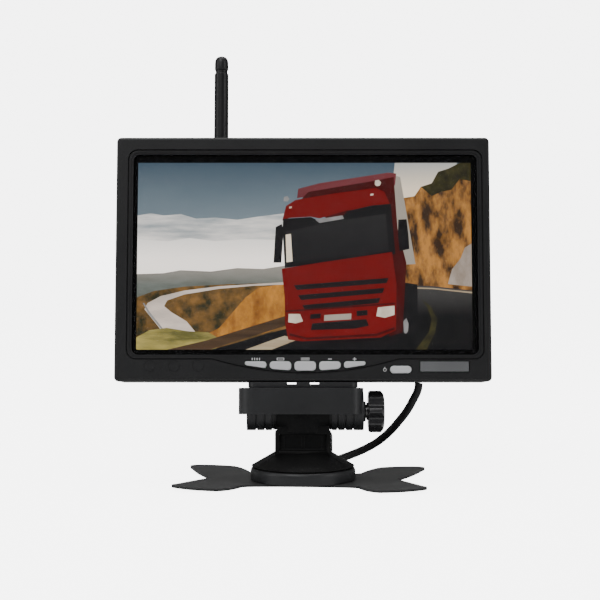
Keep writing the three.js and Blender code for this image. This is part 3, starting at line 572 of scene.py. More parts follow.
for step in range(24):
    angle = 2 * math.pi * step / 24
    knurl = slab("knurl", (-0.25, 0.25), (low + 0.8, low + 6.6), (5.25, 6))
    knurl.matrix_world = Matrix.Translation(Vector(plug_axis) * MM) @ Matrix.Rotation(angle, 4, "Y")
    knurls.append(knurl)
carve(collar, *knurls)
plug_pins = []
for step in range(4):
    angle = math.pi / 4 + math.pi / 2 * step
    spot = (plug_axis[0] + 1.7 * math.cos(angle), 0, plug_axis[2] + 1.7 * math.sin(angle))
    pin = [(0, plug_end - 6.2), (0.45, plug_end - 6.2), (0.45, plug_end - 1.4), (0.2, plug_end - 0.9),
           (0, plug_end - 0.9)]
    plug_pins.append(turned("plug_pin", pin, spot, axis=1, steps=12))
joined([collar, *plug_pins], "plug_collar_shell")
steel = metal("zinc_plated_steel", (0.62, 0.62, 0.63), 0.34)
fit(collar, "foot", "steel", steel, "plug_collar")


def length_of(points):
    return sum((last - first).length for first, last in zip(points, points[1:]))


for piece, start, route, end, lay, carried in (
    (lead_upper, exit_point, upper_route, "object", "hanging", []),
    (lead_lower, meeting, lower_route, "plug", "loose", [plug_boot, collar, tie, free_end]),
):
    path = route_points(route)
    round(length_of(path), 3)
    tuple(start)
    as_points(path)
    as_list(carried)

# ---------------------------------------------------------------------------------------------------
# Floor and light: one pale sweep of paper, a big soft light over the front, another overhead, and a tall
# narrow one at each side, which picks out the knob and the edges of the mouldings.
# ---------------------------------------------------------------------------------------------------
deselect()
bpy.ops.mesh.primitive_plane_add(size=1)
sweep = bpy.context.object
sweep.name = "paper_sweep"
bpy.ops.transform.resize(value=(9, 6, 1))
bpy.ops.transform.translate(value=(0, 0.6, -0.00002))
bpy.ops.object.transform_apply()
pick(sweep, "EDGE", lambda points: all(point[1] > 3000 for point in points))
bpy.ops.mesh.extrude_edges_move(TRANSFORM_OT_translate={"value": (0, 0, 4)})
bpy.ops.object.mode_set(mode="OBJECT")
pick(sweep, "EDGE", lambda points: all(point[1] > 3000 and point[2] < 10 for point in points))
bpy.ops.mesh.bevel(offset=1.6, segments=16, affect="EDGES")
bpy.ops.object.mode_set(mode="OBJECT")
bpy.ops.object.shade_smooth()
PAPER_GLOW = 5.6  # what the camera alone sees the paper and the studio's walls give off
paper, paper_tree, paper_shader = plain_material("pale_paper")
paper_tone = noise(paper_tree, node(paper_tree, "ShaderNodeTexCoord").outputs["Object"], 3.0)
connect(paper_tree, mix_colour(paper_tree, paper_tone, (0.86, 0.86, 0.86, 1), (0.88, 0.88, 0.88, 1)),
        paper_shader.inputs["Base Color"])
set_inputs(paper_shader, {"Roughness": 0.9, "Specular IOR Level": 0.1, "Emission Color": (1, 1, 1, 1)})
paper_glow = node(paper_tree, "ShaderNodeLightPath").outputs["Is Camera Ray"]
connect(paper_tree, math_step(paper_tree, "MULTIPLY", paper_glow, PAPER_GLOW),
        paper_shader.inputs["Emission Strength"])
sweep.data.materials.append(paper)
sweep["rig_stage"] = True


def soft_light(name, place, aim, width, height, power):
    deselect()
    bpy.ops.object.light_add(type="AREA", location=place)
    light = bpy.context.object
    light.name = name
    light.data.shape = "RECTANGLE"
    light.data.size = width
    light.data.size_y = height
    light.data.energy = power
    light.rotation_euler = (Vector(aim) - Vector(place)).to_track_quat("-Z", "Y").to_euler()


soft_light("front_box", (-0.5, -1.2, 1.3), (0, 0, 0.06), 1.0, 0.7, 9)
soft_light("top_box", (0, 0.1, 1.5), (0, 0, 0.05), 1.5, 1.1, 12)
soft_light("right_box", (1.35, -0.7, 0.5), (0, 0, 0.06), 0.4, 1.2, 4)
soft_light("left_box", (-1.35, -0.5, 0.5), (0, 0, 0.06), 0.4, 1.2, 3.5)
world = bpy.data.worlds.new("studio")
bpy.context.scene.world = world
world.use_nodes = True
world.node_tree.nodes["Background"].inputs["Color"].default_value = (1, 1, 1, 1)
studio_glow = node(world.node_tree, "ShaderNodeLightPath").outputs["Is Camera Ray"]
seen_world = math_step(world.node_tree, "MULTIPLY_ADD", studio_glow, PAPER_GLOW)
seen_world.node.inputs[2].default_value = 0.12
connect(world.node_tree, seen_world, world.node_tree.nodes["Background"].inputs["Strength"])

# ---------------------------------------------------------------------------------------------------
# Foot: a flexible plate of black polymer with four rounded lobes, curled up a little at their ends, on a
# foam adhesive pad, and the round disc that three rivets hold to it.
# ---------------------------------------------------------------------------------------------------
def from_solid(node_name, name):
    """A merged copy of a CAD solid, with its flat faces whole again, ready to be detailed."""
    deselect()
    solid = frame["nodes"][node_name]
    piece = bpy.data.objects.new(name, solid.data.copy())
    bpy.context.collection.objects.link(piece)
    activate(piece)
    bpy.ops.object.mode_set(mode="EDIT")
    bpy.ops.mesh.select_all(action="SELECT")
    bpy.ops.mesh.remove_doubles(threshold=2e-6)
    bpy.ops.mesh.dissolve_limited(angle_limit=math.radians(0.7))
    bpy.ops.mesh.normals_make_consistent(inside=False)
    bpy.ops.object.mode_set(mode="OBJECT")
    return piece


polymer = moulded("foot_polymer", (0.03, 0.031, 0.033), 0.42, grain=1400, depth=0.03, edge_highlight=0.3, dust=0.16)
fit(soften(from_solid("foot_plate", "lobed_plate"), 0.16), "foot", "foot_plate", polymer, "foot_plate",
    angle=30)
foam = moulded("adhesive_foam", (0.02, 0.02, 0.02), 0.95, grain=900, depth=0.12, edge_highlight=0.0, dust=0.0)
fit(soften(from_solid("foot_pad", "foam_pad"), 0.08), "foot", "adhesive_pad", foam, "foot_pad", angle=30)

nylon = moulded("pedestal_nylon", (0.022, 0.023, 0.025), 0.4, grain=2100, depth=0.03, edge_highlight=0.4, dust=0.12)
disc_x, disc_z = box_mm("base_disc")[::2]
disc_radius = (disc_x[1] - disc_x[0]) / 2
disc_bottom, disc_top = disc_z
disc = turned("base_disc_shell", [
    (6.5, disc_bottom), (disc_radius - 0.7, disc_bottom), (disc_radius - 0.2, disc_bottom + 0.2),
    (disc_radius, disc_bottom + 0.7), (disc_radius, disc_top - 1.6), (disc_radius - 0.15, disc_top - 0.9),
    (disc_radius - 0.5, disc_top - 0.3), (disc_radius - 1, disc_top), (disc_radius - 1.5, disc_top),
    (disc_radius - 1.8, disc_top - 0.35), (disc_radius - 2.3, disc_top - 0.35), (2.6, disc_top - 0.35),
    (2.6, disc_bottom + 3), (6.5, disc_bottom + 3), (6.5, disc_bottom),
], steps=96)
fit(disc, "foot", "pedestal_plastic", nylon, "base_disc", angle=32)

# ---------------------------------------------------------------------------------------------------
# Neck: glass filled nylon, moulded in one, given a much darker colour than the rest of the pedestal as painted
# shade under the head. A hollow cone stands on the disc and turns on one screw, and a flanged column with sunk
# webs carries the lug that the clamp bolt passes through.
# ---------------------------------------------------------------------------------------------------
neck = from_solid("neck", "pedestal_neck")
for side in (-1, 1):
    ledge = [slab("web_panel", (-8.6 + 9.2 * panel, -0.6 + 9.2 * panel), sorted((side * 4.6, side * 6)),
                  (15.6, 21.6),
                  corner=0.8) for panel in (0, 1)]
    carve(neck, *ledge)
# The neck's colour is far darker than the pedestal's other nylon: painted shade under the head.
neck_nylon_painted_shade = moulded("neck_nylon_painted_shade", (0.003, 0.0031, 0.0034), 0.5, grain=2100, depth=0.03, edge_highlight=0.9, dust=0.03,
                     shine=0.2)
fit(soften(neck, 0.3, steps=3), "neck", "pedestal_plastic", neck_nylon_painted_shade, "neck", angle=32)

# ---------------------------------------------------------------------------------------------------
# Tilt head: a nylon saddle with rounded ends over two ribbed ears. The clamp bolt draws the ears onto
# the neck's lug through two fibre washers, and a nut sits in a pocket in the left ear.
# ---------------------------------------------------------------------------------------------------
HEAD_TILT = math.radians(-6)
hinge = next(joint for joint in frame["joints"] if joint["name"] == "tilt_hinge")
head_place = Matrix.Translation(Vector(hinge["pos_m"])) @ Matrix.Rotation(HEAD_TILT, 4, "X")

WASHER_SPREAD = 0.27  # how far each fibre washer fills the play on its two sides
for node_name in ("friction_washer_left", "friction_washer_right"):
    washer_x = box_mm(node_name, head_place)[0]
    faces = grown(washer_x, WASHER_SPREAD)
    fibre = turned("fibre_washer", [(3.4, faces[0]), (8.2, faces[0]), (8.35, sum(faces) / 2),
                                    (8.2, faces[1]),
                                    (3.4, faces[1]), (3.4, faces[0])], axis=0)
    fit(fibre, "head", "component_black", sheath, node_name, place=head_place)
saddle = from_solid("tilt_head", "tilt_saddle")
fit(soften(saddle, 0.32, steps=3), "head", "pedestal_plastic", nylon, "tilt_head", angle=32)
shoe = from_solid("mount_shoe", "case_shoe")
fit(soften(shoe, 0.25), "head", "pedestal_plastic", nylon, "mount_shoe", angle=32)

# ---------------------------------------------------------------------------------------------------
# Clamp: a fluted knob moulded on the bolt's head, in a harder and glossier nylon, with a dished end. It
# bears on a plain washer against the right ear.
# ---------------------------------------------------------------------------------------------------
knob_gloss = moulded("knob_nylon", (0.02, 0.02, 0.022), 0.24, grain=1600, depth=0.008, edge_highlight=0.6, dust=0.04,
                     coat=0.4)
knob_x = box_mm("clamp_knob")[0]
hinge_mm = Vector(hinge["pos_m"]) / MM
knob = from_solid("clamp_knob", "fluted_knob")
dish = turned("dish", [(0, knob_x[1] - 0.9), (4.4, knob_x[1] - 0.7), (5.0, knob_x[1] - 0.3),
                       (5.2, knob_x[1] + 1),
                       (0, knob_x[1] + 1)], tuple(hinge_mm), axis=0, steps=40)
carve(knob, dish)
fit(soften(knob, 0.3, steps=3), "knob", "knob_plastic", knob_gloss, "clamp_knob", angle=40)

# ---------------------------------------------------------------------------------------------------
# Case front: black ABS with a fine matt texture. A sunk lip runs round the window and dips in an arch
# under the five keys, and three blind discs, the power key and the remote's window share the lower rail.
# ---------------------------------------------------------------------------------------------------
abs_black = moulded("case_abs", (0.0105, 0.0108, 0.0118), 0.44, grain=3400, depth=0.012, edge_highlight=0.3, dust=0.1)
case_x, case_y, case_z = box_mm("front_bezel", head_place)
FRONT = case_y[0]
SPLIT = FRONT + 8
LOWER, UPPER = case_z
SCREEN_MIDDLE = 1.0
WALL = 2.0
BEZEL_FACE = 2.2
WINDOW = (158.5, 92.4)
WINDOW_MIDDLE = LOWER + 12.2 + WINDOW[1] / 2
LIP = (163.4, 96.9)
ARCH_MIDDLE = SCREEN_MIDDLE + 0.15
ARCH_RISE = 0.00353
ARCH_LOWEST = LOWER + 3.6
ARCH_HALF = 42.2
CUT_IN = FRONT - 2


def facing(width, height, middle, y, corner, name="cutter"):
    """A rounded rectangle seen from the front, from one depth to another."""
    return slab(name, (middle[0] - width / 2, middle[0] + width / 2), y,
                (middle[1] - height / 2, middle[1] + height / 2), corner=corner)


def arched(name, left, right, top, lowest, y, rise=ARCH_RISE, middle=ARCH_MIDDLE):
    """A block whose lower face follows the arch under the keys."""
    block = slab(name, (left, right), y, (lowest, top))
    bpy.ops.object.mode_set(mode="OBJECT")
    pick(block, "EDGE", runs_along(0))
    bpy.ops.mesh.subdivide(number_cuts=23)
    bpy.ops.object.mode_set(mode="OBJECT")
    for vertex in block.data.vertices:
        x = vertex.co.x / MM
        if vertex.co.z / MM < lowest + 0.01:
            vertex.co.z += rise * (x - middle) ** 2 * MM
    return block


def ring_cutter(x, z, radius, width, y):
    profile = [(radius, y[0]), (radius, y[1]), (radius - width, y[1]), (radius - width, y[0]),
               (radius, y[0])]
    return turned("ring_cutter", profile, (x, 0, z), axis=1, steps=40)


bezel = slab("bezel_shell", case_x, (FRONT, SPLIT), case_z, corner=2.0)
pick(bezel, "FACE", lies_at(1, FRONT))
bpy.ops.mesh.region_to_loop()
bpy.ops.mesh.bevel(offset=1.2 * MM, segments=4, affect="EDGES")
bpy.ops.object.mode_set(mode="OBJECT")
middle = (middle_of(case_x), middle_of(case_z))
inner = (case_x[1] - case_x[0] - 2 * WALL, UPPER - LOWER - 2 * WALL)
carve(bezel, facing(*inner, middle, (FRONT + BEZEL_FACE, SPLIT + 1), 1))
screen_spot = (SCREEN_MIDDLE, WINDOW_MIDDLE)
carve(bezel, facing(*LIP, screen_spot, (CUT_IN, FRONT + 0.45), 4.5))
carve(bezel, arched("arch", ARCH_MIDDLE - ARCH_HALF, ARCH_MIDDLE + ARCH_HALF, LOWER + 13, ARCH_LOWEST,
                    (CUT_IN, FRONT + 0.45)))
GROOVE = 0.6
BLIND_DISCS = (-69.7, -58.6, -47.7)


def lip_outline(margin, y):
    """The lip's outline with its dip under the keys, grown by a margin."""
    arch = arched("arch", ARCH_MIDDLE - ARCH_HALF, ARCH_MIDDLE + ARCH_HALF, LOWER + 13, ARCH_LOWEST - margin,
                  y)
    return carve(facing(LIP[0] + 2 * margin, LIP[1] + 2 * margin, screen_spot, y, 4.5 + margin), arch,
                 operation="UNION")


groove = carve(lip_outline(0, (CUT_IN, FRONT + 1.5)), lip_outline(-GROOVE, (CUT_IN - 1, FRONT + 2)))
carve(bezel, groove)
carve(bezel, facing(WINDOW[0] + 2.2, WINDOW[1] + 1.9, screen_spot, (CUT_IN, FRONT + 0.95), 3.8))
carve(bezel, facing(*WINDOW, screen_spot, (CUT_IN, SPLIT), 3))

GAP = 0.3
key_boxes = [box_mm(f"menu_key_{number}", head_place) for number in range(1, 6)]
power_x, power_y, power_z = box_mm("power_key", head_place)
lens_x, lens_y, lens_z = box_mm("infrared_window", head_place)
KEY_TOP = key_boxes[0][2][1]
KEY_LOWEST = LOWER + 4.8


def key_block(name, box, margin, y, corner):
    """One key's shape: straight on top, following the arch below, with round ends."""
    (left, right), _, (_, top) = box
    block = slab(name, (left - margin, right + margin), y, (KEY_LOWEST - margin, top + margin))
    for vertex in block.data.vertices:
        if vertex.co.z / MM < top - 1:
            vertex.co.z += ARCH_RISE * (vertex.co.x / MM - SCREEN_MIDDLE) ** 2 * MM
    for end in (left - margin, right + margin):
        height = top - KEY_LOWEST + 2 * margin - ARCH_RISE * (end - SCREEN_MIDDLE) ** 2
        pick(block, "EDGE", lambda points: runs_along(1)(points) and abs(points[0][0] - end) < 0.02)
        bpy.ops.mesh.bevel(offset=min(corner, 0.46 * height) * MM, segments=6, affect="EDGES")
        bpy.ops.object.mode_set(mode="OBJECT")
    return block


openings = [key_block("key_opening", box, GAP, (CUT_IN, SPLIT), 1.75) for box in key_boxes]
openings.append(slab("power_opening", grown(power_x, GAP), (CUT_IN, SPLIT), grown(power_z, GAP), corner=1.9))
openings.append(slab("lens_opening", grown(lens_x, GAP), (CUT_IN, SPLIT), grown(lens_z, GAP), corner=0.6))
for opening in openings:
    carve(bezel, opening)
for x in BLIND_DISCS:
    carve(bezel, ring_cutter(x, LOWER + 7.07, 2.7, 0.35, (CUT_IN, FRONT + 0.3)))
fit(soften(bezel, 0.14), "head", "case_plastic", abs_black, "front_bezel", place=head_place, angle=32)

# ---------------------------------------------------------------------------------------------------
# Printed marks: white pad printing over each key, and a small power sign beside the power key. They
# are plain signs: two bars, a frame, three lines, less and more.
# ---------------------------------------------------------------------------------------------------
ink, ink_tree, ink_shader = plain_material("white_ink")
ink_wear = place_group(ink_tree, mould_grain, Scale=5000.0)
connect(ink_tree, mix_colour(ink_tree, ink_wear.outputs["Height"], (0.6, 0.6, 0.6, 1), (0.8, 0.8, 0.8, 1)),
        ink_shader.inputs["Base Color"])
ink_shader.inputs["Roughness"].default_value = 0.5
INK = (FRONT + 0.43, FRONT + 0.47)
MARK_HEIGHT = KEY_TOP + 1.05


def bar(x, z, width, height, y=INK):
    return slab("bar", (x - width / 2, x + width / 2), y, (z - height / 2, z + height / 2))


mark_places = [middle_of(box[0]) for box in key_boxes]
marks = [bar(mark_places[0] + side, MARK_HEIGHT, 0.45, 1.1) for side in (-1.6, -0.5, 0.6, 1.7)]
frame_mark = bar(mark_places[1], MARK_HEIGHT, 3.4, 1.2)
marks.append(carve(frame_mark, bar(mark_places[1], MARK_HEIGHT, 2.7, 0.6, (INK[0] - 1, INK[1] + 1))))
marks += [bar(mark_places[2], MARK_HEIGHT + step, 4.0, 0.25) for step in (-0.48, 0, 0.48)]
marks += [bar(mark_places[3], MARK_HEIGHT, 1.7, 0.4), bar(mark_places[4], MARK_HEIGHT, 1.7, 0.4)]
marks.append(bar(mark_places[4], MARK_HEIGHT, 0.4, 1.5, (INK[0] - 0.005, INK[1])))
POWER_SIGN = (37.2, LOWER + 5.3)
FACE_INK = (FRONT - 0.02, FRONT + 0.02)
power_ring = turned("power_ring", [(0.8, FACE_INK[0]), (0.8, FACE_INK[1]), (0.55, FACE_INK[1]),
                                   (0.55, FACE_INK[0]),
                                   (0.8, FACE_INK[0])], (POWER_SIGN[0], 0, POWER_SIGN[1]), axis=1, steps=24)
marks += [power_ring, bar(POWER_SIGN[0], POWER_SIGN[1] + 0.8, 0.3, 1.0, (FACE_INK[0] - 0.005, FACE_INK[1]))]
fit(joined(marks, "printed_marks"), "head", "key_plastic", ink, place=head_place)

# ---------------------------------------------------------------------------------------------------
# Keys: five ABS caps and the power key, painted silver and lacquered, with a rounded rim and a stem
# that reaches the switch behind.
# ---------------------------------------------------------------------------------------------------
key_paint, key_tree, key_shader = plain_material("key_silver_paint")
key_flake = place_group(key_tree, mould_grain, Scale=9000.0)
# The caps' rims are mixed towards a darker grey: painted shade.
key_rim_shade = place_group(key_tree, painted_edge_light, Amount=0.25)
key_silver = mix_colour(key_tree, key_flake.outputs["Height"], (0.70, 0.71, 0.73, 1), (0.86, 0.87, 0.88, 1))
connect(key_tree, mix_colour(key_tree, key_rim_shade.outputs["Mask"], key_silver, (0.45, 0.45, 0.46, 1)),
        key_shader.inputs["Base Color"])
connect(key_tree, math_step(key_tree, "MULTIPLY_ADD", key_flake.outputs["Tone"], 0.25),
        key_shader.inputs["Roughness"])
set_inputs(key_shader, {"Metallic": 0.25, "Coat Weight": 0.4})


def rim(piece, front, width):
    """Round the rim of a key's face."""
    pick(piece, "FACE", lies_at(1, front))
    bpy.ops.mesh.dissolve_faces()
    bpy.ops.mesh.region_to_loop()
    bpy.ops.mesh.bevel(offset=width * MM, segments=3, affect="EDGES")
    bpy.ops.object.mode_set(mode="OBJECT")
    return piece


for number, box in enumerate(key_boxes, start=1):
    cap = rim(key_block(f"key_cap_{number}", box, 0, box[1], 1.6), box[1][0], 0.45)
    fit(cap, f"menu_key_{number}", "key_plastic", key_paint, f"menu_key_{number}", place=head_place)
power_cap = rim(slab("power_cap", power_x, power_y, power_z, corner=1.68, steps=8), power_y[0], 0.45)
fit(power_cap, "power_key", "key_plastic", key_paint, "power_key", place=head_place)
smoked = moulded("smoked_acrylic", (0.17, 0.175, 0.18), 0.2, grain=600, depth=0.004, edge_highlight=0.1, dust=0.05,
                 coat=0.5)
lens = rim(slab("remote_lens", lens_x, lens_y, lens_z, corner=0.4), lens_y[0], 0.3)
fit(lens, "head", "infrared_lens", smoked, "infrared_window", place=head_place)

# ---------------------------------------------------------------------------------------------------
# Screen: a cover glass with a printed black border, over a lit panel in a folded metal frame. The panel
# shows a stock scene of a lorry on a mountain road, built up from flat shapes that give off light.
# ---------------------------------------------------------------------------------------------------
glass_x, glass_y, glass_z = box_mm("screen_glass", head_place)
PICTURE = (154.1, 86.6)
PICTURE_LEFT = SCREEN_MIDDLE - 0.35 - PICTURE[0] / 2
PICTURE_LOWER = WINDOW_MIDDLE - 0.5 - PICTURE[1] / 2
PANEL_FRONT = glass_y[1] + 0.8
LAYER = 0.02

clear, clear_tree, clear_shader = plain_material("cover_glass")
smear = place_group(clear_tree, mould_grain, Scale=300.0)
connect(clear_tree, math_step(clear_tree, "MULTIPLY", smear.outputs["Tone"], 0.06),
        clear_shader.inputs["Roughness"])
set_inputs(clear_shader, {"Transmission Weight": 1.0, "IOR": 1.14, "Specular IOR Level": 0.3})
glass = soften(slab("cover_glass", glass_x, glass_y, glass_z, corner=1), 0.15)
fit(glass, "head", "screen_glass", clear, "screen_glass", place=head_place)

picture_spot = (PICTURE_LEFT + PICTURE[0] / 2, PICTURE_LOWER + PICTURE[1] / 2)
border = slab("printed_border", glass_x, (glass_y[1] + 0.02, glass_y[1] + 0.06), glass_z, corner=1)
carve(border, facing(*PICTURE, picture_spot, (glass_y[1] - 1, glass_y[1] + 1), 0.6))
black_print = moulded("black_print", (0.004, 0.004, 0.005), 0.25, grain=4000, depth=0.002, edge_highlight=0.0,
                      dust=0.0)
fit(border, "head", "screen_glass", black_print, place=head_place)

panel_x, panel_y, panel_z = box_mm("display_panel", head_place)
module = slab("display_module", panel_x, (PANEL_FRONT, panel_y[1]), panel_z, corner=0.6)
carve(module, facing(PICTURE[0] + 1.4, PICTURE[1] + 1.4, picture_spot, (PANEL_FRONT - 1, PANEL_FRONT + 0.05),
                     0.4))
module_black = moulded("module_black", (0.02, 0.02, 0.022), 0.35, grain=1500, edge_highlight=0.2, dust=0.0)
fit(soften(module, 0.1), "head", "display_module", module_black, "display_panel", place=head_place)


def lit(name, light, dark, scale=0.0, stretch=(1, 1, 1), bands=None, strength=1.0, contrast=1.0):
    """A lit colour: two tones mixed by noise, or by height between two places in millimetres."""
    material, tree, shader = plain_material(name)
    place = node(tree, "ShaderNodeTexCoord").outputs["Object"]
    factor = 0.0
    if scale:
        mapping = node(tree, "ShaderNodeMapping", Scale=stretch)
        connect(tree, place, mapping.inputs["Vector"])
        spread = node(tree, "ShaderNodeMapRange")
        set_inputs(spread, {"From Min": 0.5 - 0.25 / contrast, "From Max": 0.5 + 0.25 / contrast})
        connect(tree, noise(tree, mapping.outputs["Vector"], scale, detail=6, roughness=0.62),
                spread.inputs["Value"])
        factor = spread.outputs["Result"]
    colour = mix_colour(tree, factor, (*dark, 1), (*light, 1))
    if bands:
        low, high, tone = bands
        apart = node(tree, "ShaderNodeSeparateXYZ")
        connect(tree, place, apart.inputs[0])
        ramp = node(tree, "ShaderNodeMapRange")
        set_inputs(ramp, {"From Min": (hinge_mm[2] + PICTURE_LOWER + low) * MM,
                          "From Max": (hinge_mm[2] + PICTURE_LOWER + high) * MM})
        connect(tree, apart.outputs["Z"], ramp.inputs["Value"])
        colour = mix_colour(tree, ramp.outputs["Result"], colour, (*tone, 1))
    connect(tree, colour, shader.inputs["Emission Color"])
    set_inputs(shader, {"Emission Strength": strength, "Base Color": (0.01, 0.01, 0.01, 1),
                        "Roughness": 0.6})
    return material


picture_parts = []


def shape(layer, finish, *outline):
    """A flat shape of the picture, its outline in millimetres from the picture's lower left corner."""
    depth = PANEL_FRONT - LAYER * (layer + 1)
    flat = drawn("picture_shape", [(PICTURE_LEFT + across, depth, PICTURE_LOWER + height)
                                   for across, height in outline])
    bpy.ops.mesh.edge_face_add()
    bpy.ops.object.mode_set(mode="OBJECT")
    if flat.data.polygons[0].normal.y > 0:
        flat.data.flip_normals()
    flat.data.materials.append(finish)
    picture_parts.append(flat)


sky = lit("lit_sky", (0.30, 0.37, 0.41), (0.21, 0.28, 0.33), 14, (1, 1, 2.2), (60, 86, (0.075, 0.12, 0.165)))
cloud = lit("lit_cloud", (0.98, 0.92, 0.86), (0.30, 0.34, 0.36), 55, (0.35, 1, 2.4), None, 1.5, 1.8)
haze = lit("lit_haze", (0.98, 0.91, 0.85), (0.86, 0.78, 0.70), 20, (0.3, 1, 1), (42, 53, (0.60, 0.58, 0.55)),
           2.3)
glow = lit("lit_glow", (0.92, 0.76, 0.56), (0.74, 0.64, 0.50), 20, (1, 1, 1), (74, 88, (0.34, 0.36, 0.36)),
           1.6)
hills = lit("lit_hills", (0.20, 0.22, 0.20), (0.08, 0.09, 0.07), 120, (0.4, 1, 1.6),
            (30, 41, (0.42, 0.38, 0.33)), 1.3)
scrub = lit("lit_scrub", (0.34, 0.17, 0.045), (0.035, 0.035, 0.015), 170, (1, 1, 1), None, 1.0, 1.6)
gold = lit("lit_gold", (0.95, 0.40, 0.06), (0.26, 0.09, 0.015), 120, (1, 1, 0.6), None, 1.0, 1.5)
grass = lit("lit_grass", (0.55, 0.44, 0.12), (0.13, 0.12, 0.03), 150, (0.3, 1, 1.6), None, 1.3, 1.5)
track = lit("lit_track", (0.62, 0.52, 0.44), (0.32, 0.27, 0.23), 90, (0.5, 1, 1.5), None, 2.0)
kerb = lit("lit_kerb", (0.16, 0.09, 0.045), (0.04, 0.022, 0.012), 70, (0.15, 1, 2), None, 1.0, 1.4)
streak = lit("lit_streak", (0.85, 0.72, 0.50), (0.42, 0.28, 0.15), 60, (0.2, 1, 3), None, 1.0, 1.3)
tarmac = lit("lit_tarmac", (0.009, 0.008, 0.009), (0.003, 0.003, 0.004), 60, (0.4, 1, 2),
             (16, 30, (0.085, 0.08, 0.078)))
rock = lit("lit_rock", (0.62, 0.27, 0.06), (0.045, 0.022, 0.01), 150, (1.2, 1, 0.5), None, 1.15, 2.3)
pale_rock = lit("lit_pale_rock", (0.60, 0.50, 0.42), (0.30, 0.22, 0.16), 120, (1, 1, 0.5), None, 1.0, 1.5)
bush = lit("lit_bush", (0.07, 0.06, 0.02), (0.012, 0.012, 0.006), 200, (1, 1, 1), None, 1.0, 1.6)
red = lit("lit_red", (0.26, 0.003, 0.003), (0.15, 0.002, 0.002), 34, (1, 1, 1),
          (4, 60, (0.21, 0.003, 0.003)), 1.0, 1.5)
deep_red = lit("lit_deep_red", (0.10, 0.002, 0.002), (0.04, 0.001, 0.001), 30)
rose = lit("lit_rose", (0.30, 0.07, 0.08), (0.13, 0.02, 0.025), 20, (0.4, 1, 1))
black = lit("lit_black", (0.012, 0.010, 0.012), (0.004, 0.004, 0.005), 60)
pane = lit("lit_pane", (0.022, 0.02, 0.022), (0.007, 0.007, 0.009), 25, (0.5, 1, 1),
           (46, 64, (0.03, 0.028, 0.03)))
canvas = lit("lit_canvas", (0.60, 0.54, 0.45), (0.42, 0.37, 0.31), 20, (1, 1, 0.4))
lamp = lit("lit_lamp", (1.0, 0.93, 0.78), (0.62, 0.50, 0.36), 130, (1, 1, 1), None, 1.15)
chrome = lit("lit_chrome", (0.48, 0.47, 0.46), (0.22, 0.21, 0.21), 100)

shape(0, sky, (0, 0), (154.1, 0), (154.1, 86.6), (0, 86.6))
shape(1, cloud, (0, 48), (0, 62), (6, 63), (12, 62), (20, 62.6), (27, 60.5), (36, 61), (46, 60), (56, 61.5),
      (68, 63), (70, 48))
shape(2, haze, (0, 34), (0, 51), (14, 50), (24, 51.5), (36, 50), (50, 51), (70, 50.5), (70, 34))
shape(1, glow, (116, 60), (119, 86.6), (148, 86.6), (142, 78), (132, 74), (124, 68))
shape(3, hills, (0, 20), (0, 34.8), (12, 35.2), (20, 36.6), (34, 36), (46, 37.6), (58, 37.2), (70, 39),
      (70, 20))
shape(4, scrub, (0, 0), (0, 24), (8, 27), (22, 29), (44, 30.2), (70, 30.8), (70, 4), (40, 0))
shape(5, gold, (30, 6), (38, 10), (44, 17), (50, 24), (56, 28.5), (70, 30.6), (72, 12), (60, 8), (44, 4))
shape(6, track, (70, 31.2), (54, 30.2), (38, 29.2), (22, 27.2), (11, 24.6), (5, 21.4), (3.6, 18.6),
      (7, 14.4), (13, 7),
      (28, 7), (23, 13), (16, 17.2), (12.6, 20), (14, 22.6), (22, 25.4), (38, 28), (54, 29.4), (70, 30))
shape(7, chrome, (2.8, 21.4), (3.4, 21.6), (6, 17.4), (12.4, 9.4), (11.4, 9.4), (5.2, 16.8))
shape(8, grass, (0, 0), (0, 5.6), (6, 9), (14, 10), (24, 8.4), (33, 8), (40, 4), (36, 0))
shape(9, kerb, (14, 0), (32, 4.2), (50, 9.8), (68, 15.4), (72, 12), (58, 7.6), (44, 3.4), (34, 0))
shape(10, tarmac, (34, 0), (46, 3.2), (60, 7.4), (72, 10.4), (118, 24), (124, 29.6), (136, 29.2),
      (154.1, 27.2),
      (154.1, 0))
shape(11, streak, (62, 0), (50, 0), (62, 4.4), (68, 6.4), (74, 4.6))
shape(11, bush, (128, 0), (133, 0), (137, 8), (138, 14), (135, 20), (131, 23), (133.5, 19.5), (135.4, 14),
      (134, 8))
shape(11, streak, (124, 28.8), (136, 28.4), (154.1, 26.6), (154.1, 25.9), (136, 27.8), (124, 28.2))
shape(3, rock, (116, 69), (128, 71), (131, 75.4), (136, 77), (139, 82.4), (144, 84), (149, 86.6),
      (154.1, 86.6),
      (154.1, 24), (116, 24))
shape(4, bush, (131, 75.4), (136, 77), (139, 82.4), (144, 84), (149, 86.6), (154.1, 86.6), (154.1, 78),
      (149, 79),
      (145, 74), (140, 73), (136, 71))
shape(4, pale_rock, (143, 30.2), (145, 37), (149, 42), (151, 47), (154.1, 49), (154.1, 29), (148, 29.6))
shape(12, black, (70, 3.4), (124, 6), (129, 10), (129, 30), (122, 31), (120, 4), (112, 0), (78, 0))
shape(13, canvas, (118, 80.8), (121.4, 80), (128.2, 39.4), (120, 39))
shape(14, rose, (73.6, 70), (74.2, 74.4), (84, 77), (116, 82), (119.6, 81.6), (119, 76), (88, 72.8))
shape(15, deep_red, (76, 70), (79, 73), (112, 78.6), (118.4, 80), (120, 56), (124, 40), (122, 8), (116, 6),
      (112, 40))
shape(16, red, (66.8, 59.6), (68.6, 66.4), (73, 69.2), (92, 72.4), (110, 74.8), (114, 73), (117.2, 66),
      (97, 64.4),
      (84, 60.6), (80, 61.4), (70, 60.8))
shape(17, black, (67, 56), (67.2, 60.4), (80, 61.2), (84, 59.4), (94, 60.8), (97, 64), (108, 66.6),
      (117, 67.4),
      (119, 44), (100, 42), (68, 37.6))
shape(18, pane, (68.6, 54.6), (92, 59.4), (114.6, 62.8), (116, 45.2), (98, 43.4), (70, 40))
